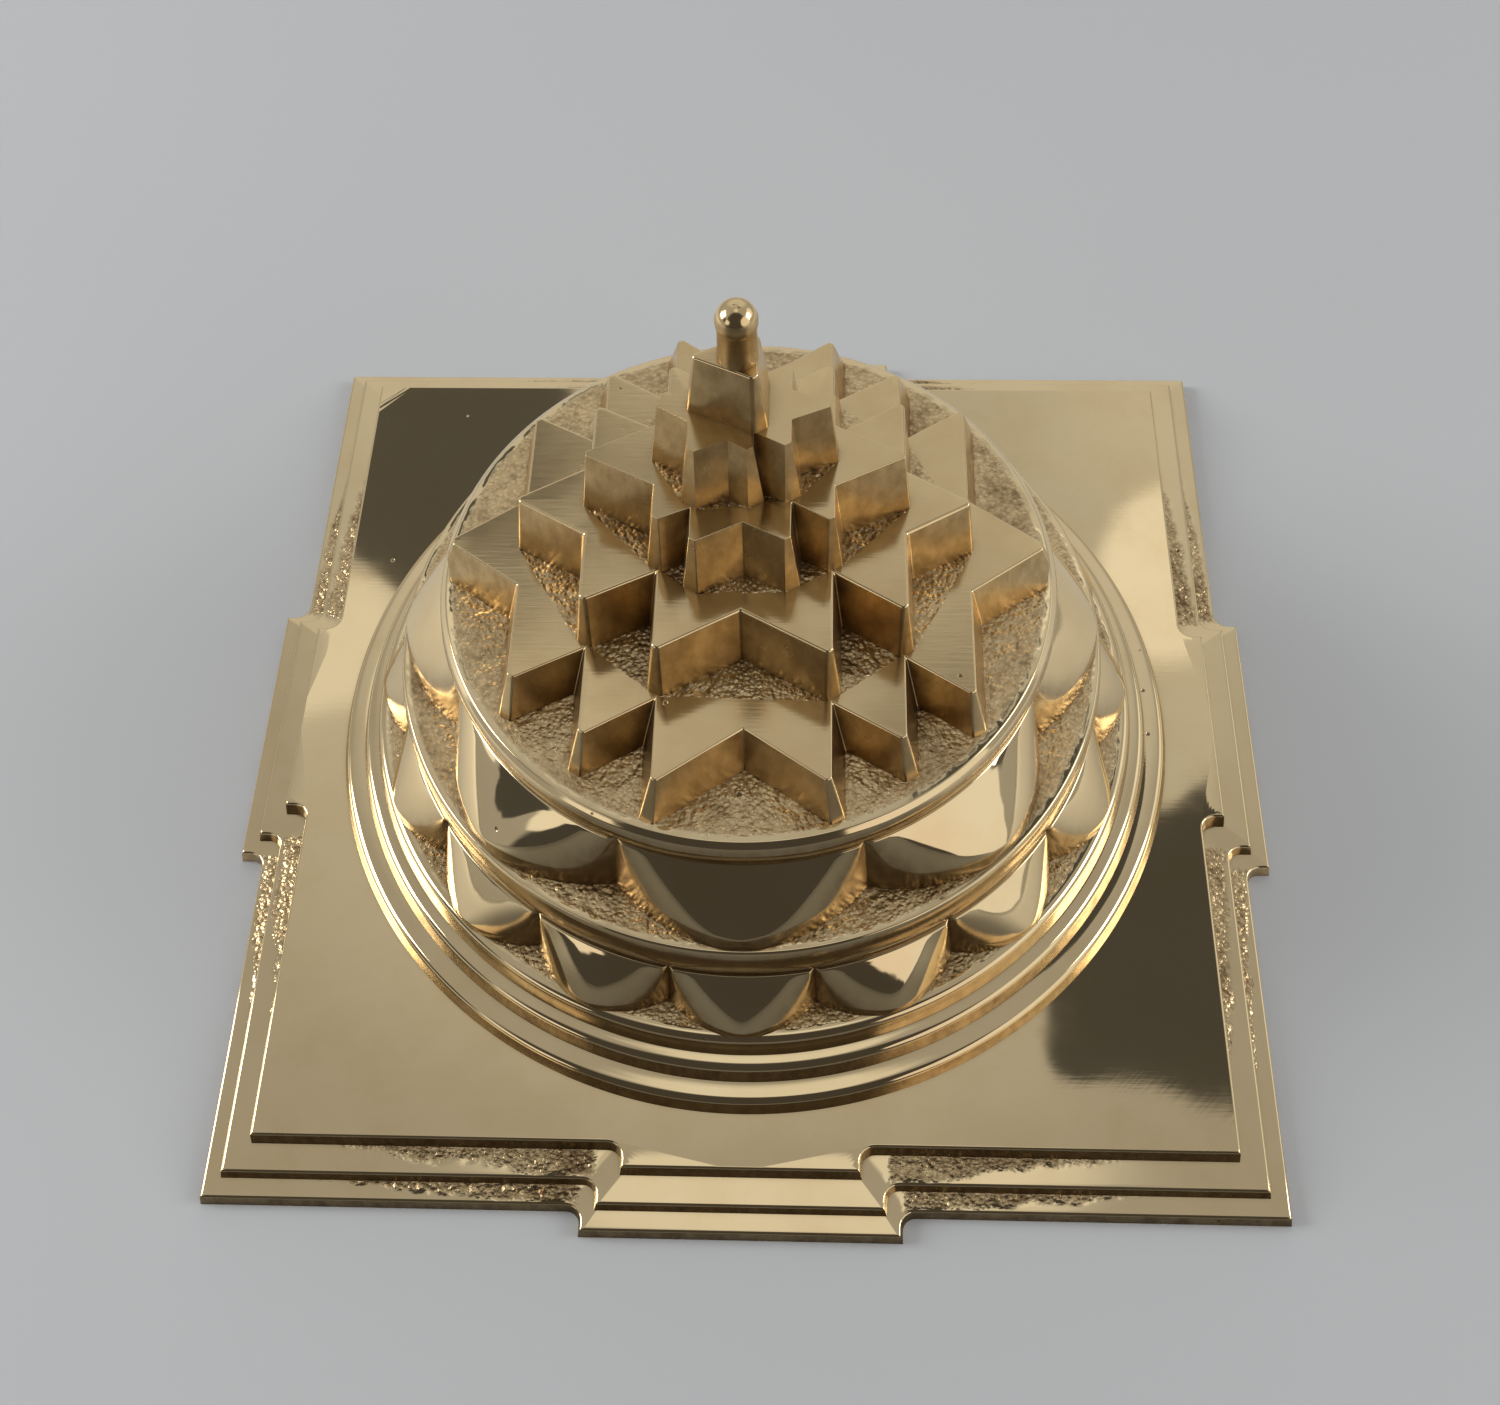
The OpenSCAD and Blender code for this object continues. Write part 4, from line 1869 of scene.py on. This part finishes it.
@dataclass
class Bindu(Turned):
    """The ball on its stem at the very top, with its tang.

    Attributes:
        ball: Diameter of the ball.
        stem_foot: Diameter of the stem at its foot.
        stem_neck: Diameter of the stem under the ball.
        tang: Diameter of the tang.
        seat: Height of the central triangle's top.
    """

    ball: float = 3.4
    stem_foot: float = 3.3
    stem_neck: float = 3.1
    tang: float = 1.6
    seat: float = 59.9

    def build(self) -> None:
        """Turn the stem, the ball and the tang."""
        low, high = self.span("bindu")
        middle = high.z - self.ball / 2
        start = -math.acos(self.stem_neck / self.ball)
        turns = [start + (math.pi / 2 - start) * step / 24 for step in range(25)]
        section = [
            Station(0.0, low.z),
            Station(self.tang / 2, low.z),
            Station(self.tang / 2, self.seat),
            Station(self.stem_foot / 2, self.seat),
        ]
        half = self.ball / 2
        section += [Station(half * math.cos(turn), middle + half * math.sin(turn)) for turn in turns[:-1]]
        section.append(Station(0.0, high.z))
        self.turn("bindu", section, SATIN, 96, 40)
        piece = self.pieces[-1][0]
        piece.data.transform(Matrix.Translation(((low.x + high.x) / 2 * MM, 0.0, 0.0)))


@dataclass
class TieBar(CastTiers):
    """The square bar that holds the tiers, with its riveted foot."""

    soft_edge: float = 0.12

    def build(self) -> None:
        """Make the bar."""
        form = self.shop.solid("tie_bar")
        self.shop.soften(form, self.soft_edge, lambda edge: Edge.SOFT)
        self.grained("tie_bar", form, BAR, 50)


@dataclass(frozen=True)
class Patch:
    """A round patch of the room around the object.

    Attributes:
        aim: Where it lies, as a direction from the object.
        size: Half its angle, in degrees.
        soft: Width of its soft border, in degrees.
        level: How bright it is.
    """

    aim: tuple[float, float, float]
    size: float
    soft: float
    level: float


@dataclass
class Studio:
    """Floor, light and camera.

    Attributes:
        floor_size: Side of the floor, in metres.
        floor_tint: Colour of the floor.
        floor_lit: Colour of the floor as the metal mirrors it at the sides and the back.
        floor_shaded: Colour of the floor as the metal mirrors it at the front.
        mottle: Brightness of the floor's darker places, as a share of its colour.
        eye: Place of the camera, in millimetres.
        right: The camera's way to the right.
        up: The camera's way up.
        lens: Focal length on a sensor 36 mm wide.
        backdrop: Colour behind the floor.
        middle: Height that the lamps look at, in metres.
        ceiling: Brightness of the room.
        upper_gain: How much brighter the room is above the horizon.
        patches: Panels and dark corners of the room, each over those before it.
        wobble: How uneven the borders of the patches are, in degrees.
        shade: The side of the room whose light is warmer.
        light_tint: Colour of the room's light.
        shade_tint: Colour of the light from the warmer side.
    """

    floor_size: float = 8.0
    floor_tint: Colour = (0.70, 0.72, 0.74)
    floor_lit: Colour = (0.84, 0.84, 0.82)
    floor_shaded: Colour = (0.24, 0.24, 0.23)
    mottle: float = 0.93
    eye: tuple[float, float, float] = (5.842, -94.809, 163.751)
    right: tuple[float, float, float] = (0.999, 0.027, -0.023)
    up: tuple[float, float, float] = (-0.011, 0.854, 0.521)
    lens: float = 42.78
    backdrop: Colour = (0.44, 0.45, 0.46)
    middle: float = 0.03
    ceiling: float = 0.37
    upper_gain: float = 0.02
    patches: Sequence[Patch] = (
        # The pale wall at the back, with darker and lighter fields
        Patch((0.0, 0.80, 0.60), 30.0, 18.0, 0.60),
        Patch((-0.02, 0.53, 0.85), 12.0, 8.0, 0.48),
        Patch((0.10, 0.50, 0.86), 3.0, 1.0, 0.20),
        Patch((-0.07, 0.60, 0.80), 3.0, 1.0, 0.24),
        Patch((-0.12, 0.49, 0.86), 3.0, 1.5, 0.66),
        # The bright ceiling overhead, and the dark side at the front
        Patch((0.0, 0.05, 1.0), 9.5, 5.0, 0.78),
        Patch((0.0, -0.98, 0.05), 52.0, 4.0, 0.06),
        Patch((0.0, -0.80, 0.60), 46.0, 8.0, 0.06),
        # Pale panels and dark gaps on both sides, which the petals mirror
        Patch((0.77, -0.54, 0.34), 25.0, 1.2, 0.85),
        Patch((-0.70, -0.63, 0.33), 11.0, 1.2, 0.9),
        Patch((-0.88, -0.32, 0.34), 10.0, 1.2, 0.07),
        Patch((0.94, -0.06, 0.33), 8.0, 1.5, 0.10),
        Patch((-0.93, 0.12, 0.34), 16.0, 1.5, 1.0),
        Patch((0.88, 0.33, 0.36), 16.0, 1.5, 0.9),
        # Two bright and two dark fields, which the top plate mirrors
        Patch((-0.275, 0.53, 0.80), 2.8, 1.2, 0.8),
        Patch((0.20, 0.565, 0.80), 2.6, 1.0, 0.9),
        Patch((0.21, 0.387, 0.897), 5.5, 0.4, 0.07),
        Patch((-0.205, 0.615, 0.76), 4.2, 0.4, 0.09),
    )
    wobble: float = 6.0
    shade: Patch = Patch((0.05, -0.85, 0.5), 45.0, 30.0, 0.0)
    light_tint: Colour = (1.0, 1.0, 0.98)
    shade_tint: Colour = (1.0, 0.92, 0.86)

    def build(self) -> None:
        """Make the floor, the lights, the world and the camera."""
        self.floor()
        self.world()
        self.lamp("key_panel", (-0.55, 0.05, 0.33), 0.28, 1.5)
        self.lamp("fill_panel", (0.55, 0.00, 0.33), 0.25, 0.8)
        self.camera()
        bpy.context.scene.view_settings.view_transform = "Standard"

    def floor(self) -> None:
        """Lay the plain floor."""
        form = bmesh.new()
        bmesh.ops.create_grid(form, x_segments=1, y_segments=1, size=self.floor_size / 2)
        mesh = bpy.data.meshes.new("floor")
        form.to_mesh(mesh)
        form.free()
        made = bpy.data.materials.new("pale_floor")
        made.use_nodes = True
        made.node_tree.nodes.clear()
        graph = Graph(made.node_tree)
        place = graph.scaled(graph.value("ShaderNodeTexCoord", None, None, "Object"), 1 / MM)
        tone = graph.cloud(place, size=160.0)
        deeper = tuple(part * self.mottle for part in self.floor_tint)
        colour = graph.blend(self.floor_tint, deeper, tone)
        bearing = graph.value("ShaderNodeVectorMath", {"operation": "NORMALIZE"}, {0: place})
        near_side = graph.dot(bearing, (0.0, -1.0, 0.0)).step(0.5, 0.75)
        mirrored = graph.blend(self.floor_lit, self.floor_shaded, near_side)
        seen = graph.value("ShaderNodeLightPath", None, None, "Is Camera Ray")
        colour = graph.blend(mirrored, colour, seen)
        rough = 0.62 + graph.cloud(place, size=30.0, detail=3.0) * 0.1
        inputs = {"Base Color": colour, "Roughness": rough, "Specular IOR Level": 0.2}
        shader = graph.value("ShaderNodeBsdfPrincipled", None, inputs)
        graph.node("ShaderNodeOutputMaterial", None, {"Surface": shader})
        mesh.materials.append(made)
        floor = bpy.data.objects.new("floor", mesh)
        bpy.context.scene.collection.objects.link(floor)

    def world(self) -> None:
        """Make a soft room of pale panels with a dark side behind the camera."""
        world = bpy.data.worlds.new("room")
        world.use_nodes = True
        world.node_tree.nodes.clear()
        graph = Graph(world.node_tree)
        way = graph.value("ShaderNodeTexCoord", None, None, "Generated")
        uneven = graph.cloud(way, size=1 / 9, detail=1.0) - 0.5

        def lobe(patch: Patch) -> Value:
            """Draw a patch with a slightly uneven border.

            Args:
                patch: The patch.

            Returns:
                A mask that is 1 inside it.
            """
            ends = (patch.size + patch.soft / 2, patch.size - patch.soft / 2)
            outer, inner = (math.cos(math.radians(angle)) for angle in ends)
            shift = math.sin(math.radians(patch.size)) * math.radians(self.wobble)
            return (graph.dot(way, patch.aim) + uneven * shift).step(outer, inner)

        level = self.ceiling + graph.dot(way, (0.0, 0.0, 1.0)).step(0.0, 0.3) * self.upper_gain
        for patch in self.patches:
            level = level.toward(patch.level, lobe(patch))
        colour = graph.blend(self.light_tint, self.shade_tint, lobe(self.shade))
        room = graph.value("ShaderNodeBackground", None, {"Color": colour, "Strength": level})
        plain = {"Color": paint(self.backdrop), "Strength": 1.0}
        plain = graph.value("ShaderNodeBackground", None, plain)
        seen = graph.value("ShaderNodeLightPath", None, None, "Is Camera Ray")
        mixed = graph.value("ShaderNodeMixShader", None, {0: seen, 1: room, 2: plain})
        graph.node("ShaderNodeOutputWorld", None, {"Surface": mixed})
        bpy.context.scene.world = world

    def lamp(self, name: str, place: tuple[float, float, float], side: float, power: float) -> None:
        """Hang a soft square lamp that looks at the object.

        Args:
            name: The lamp's name.
            place: Its place, in metres.
            side: Its side, in metres.
            power: Its power, in watts.
        """
        light = bpy.data.lights.new(name, "AREA")
        light.size = side
        light.energy = power
        lamp = bpy.data.objects.new(name, light)
        lamp.location = place
        aim = Vector((0.0, 0.0, self.middle)) - Vector(place)
        lamp.rotation_euler = aim.to_track_quat("-Z", "Y").to_euler()
        bpy.context.scene.collection.objects.link(lamp)

    def camera(self) -> None:
        """Set the camera at the photograph's viewing angle."""
        right = Vector(self.right).normalized()
        back = right.cross(Vector(self.up)).normalized()
        up = back.cross(right)
        data = bpy.data.cameras.new("eye")
        data.sensor_width = 36.0
        data.lens = self.lens
        data.clip_start = 0.005
        data.clip_end = 50.0
        camera = bpy.data.objects.new("eye", data)
        turn = Matrix((right, up, back)).transposed().to_4x4()
        camera.matrix_world = Matrix.Translation(Vector(self.eye) * MM) @ turn
        bpy.context.scene.collection.objects.link(camera)
        bpy.context.scene.camera = camera


def corners(box: tuple[Vector, Vector]) -> list[list[float]]:
    """Return a box as plain lists."""
    return [list(corner) for corner in box]


def main() -> None:
    """Build the yantra and its studio."""
    logging.basicConfig(level=logging.INFO, format="%(name)s: %(message)s")
    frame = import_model()
    shop = Workshop(frame["nodes"])
    groups: list[SubAssembly] = [
        BasePlates(shop),
        Rings(shop),
        Lotus(shop),
        Rims(shop),
        Lotus(
            shop,
            node="lotus_eight",
            count=8,
            tip=32.9,
            drum=28.2,
            top=28.1,
            tip_thick=1.75,
            edge_rise=0.45,
            edge_climb=7.0,
            bulge=0.02,
            tip_round=(0.9, 7.0),
            columns=112,
        ),
        StarTiers(shop),
        Bindu(shop),
        TieBar(shop),
    ]
    for group in groups:
        group.build()
        group.dress()
    Studio().build()


if __name__ == "__main__":
    main()
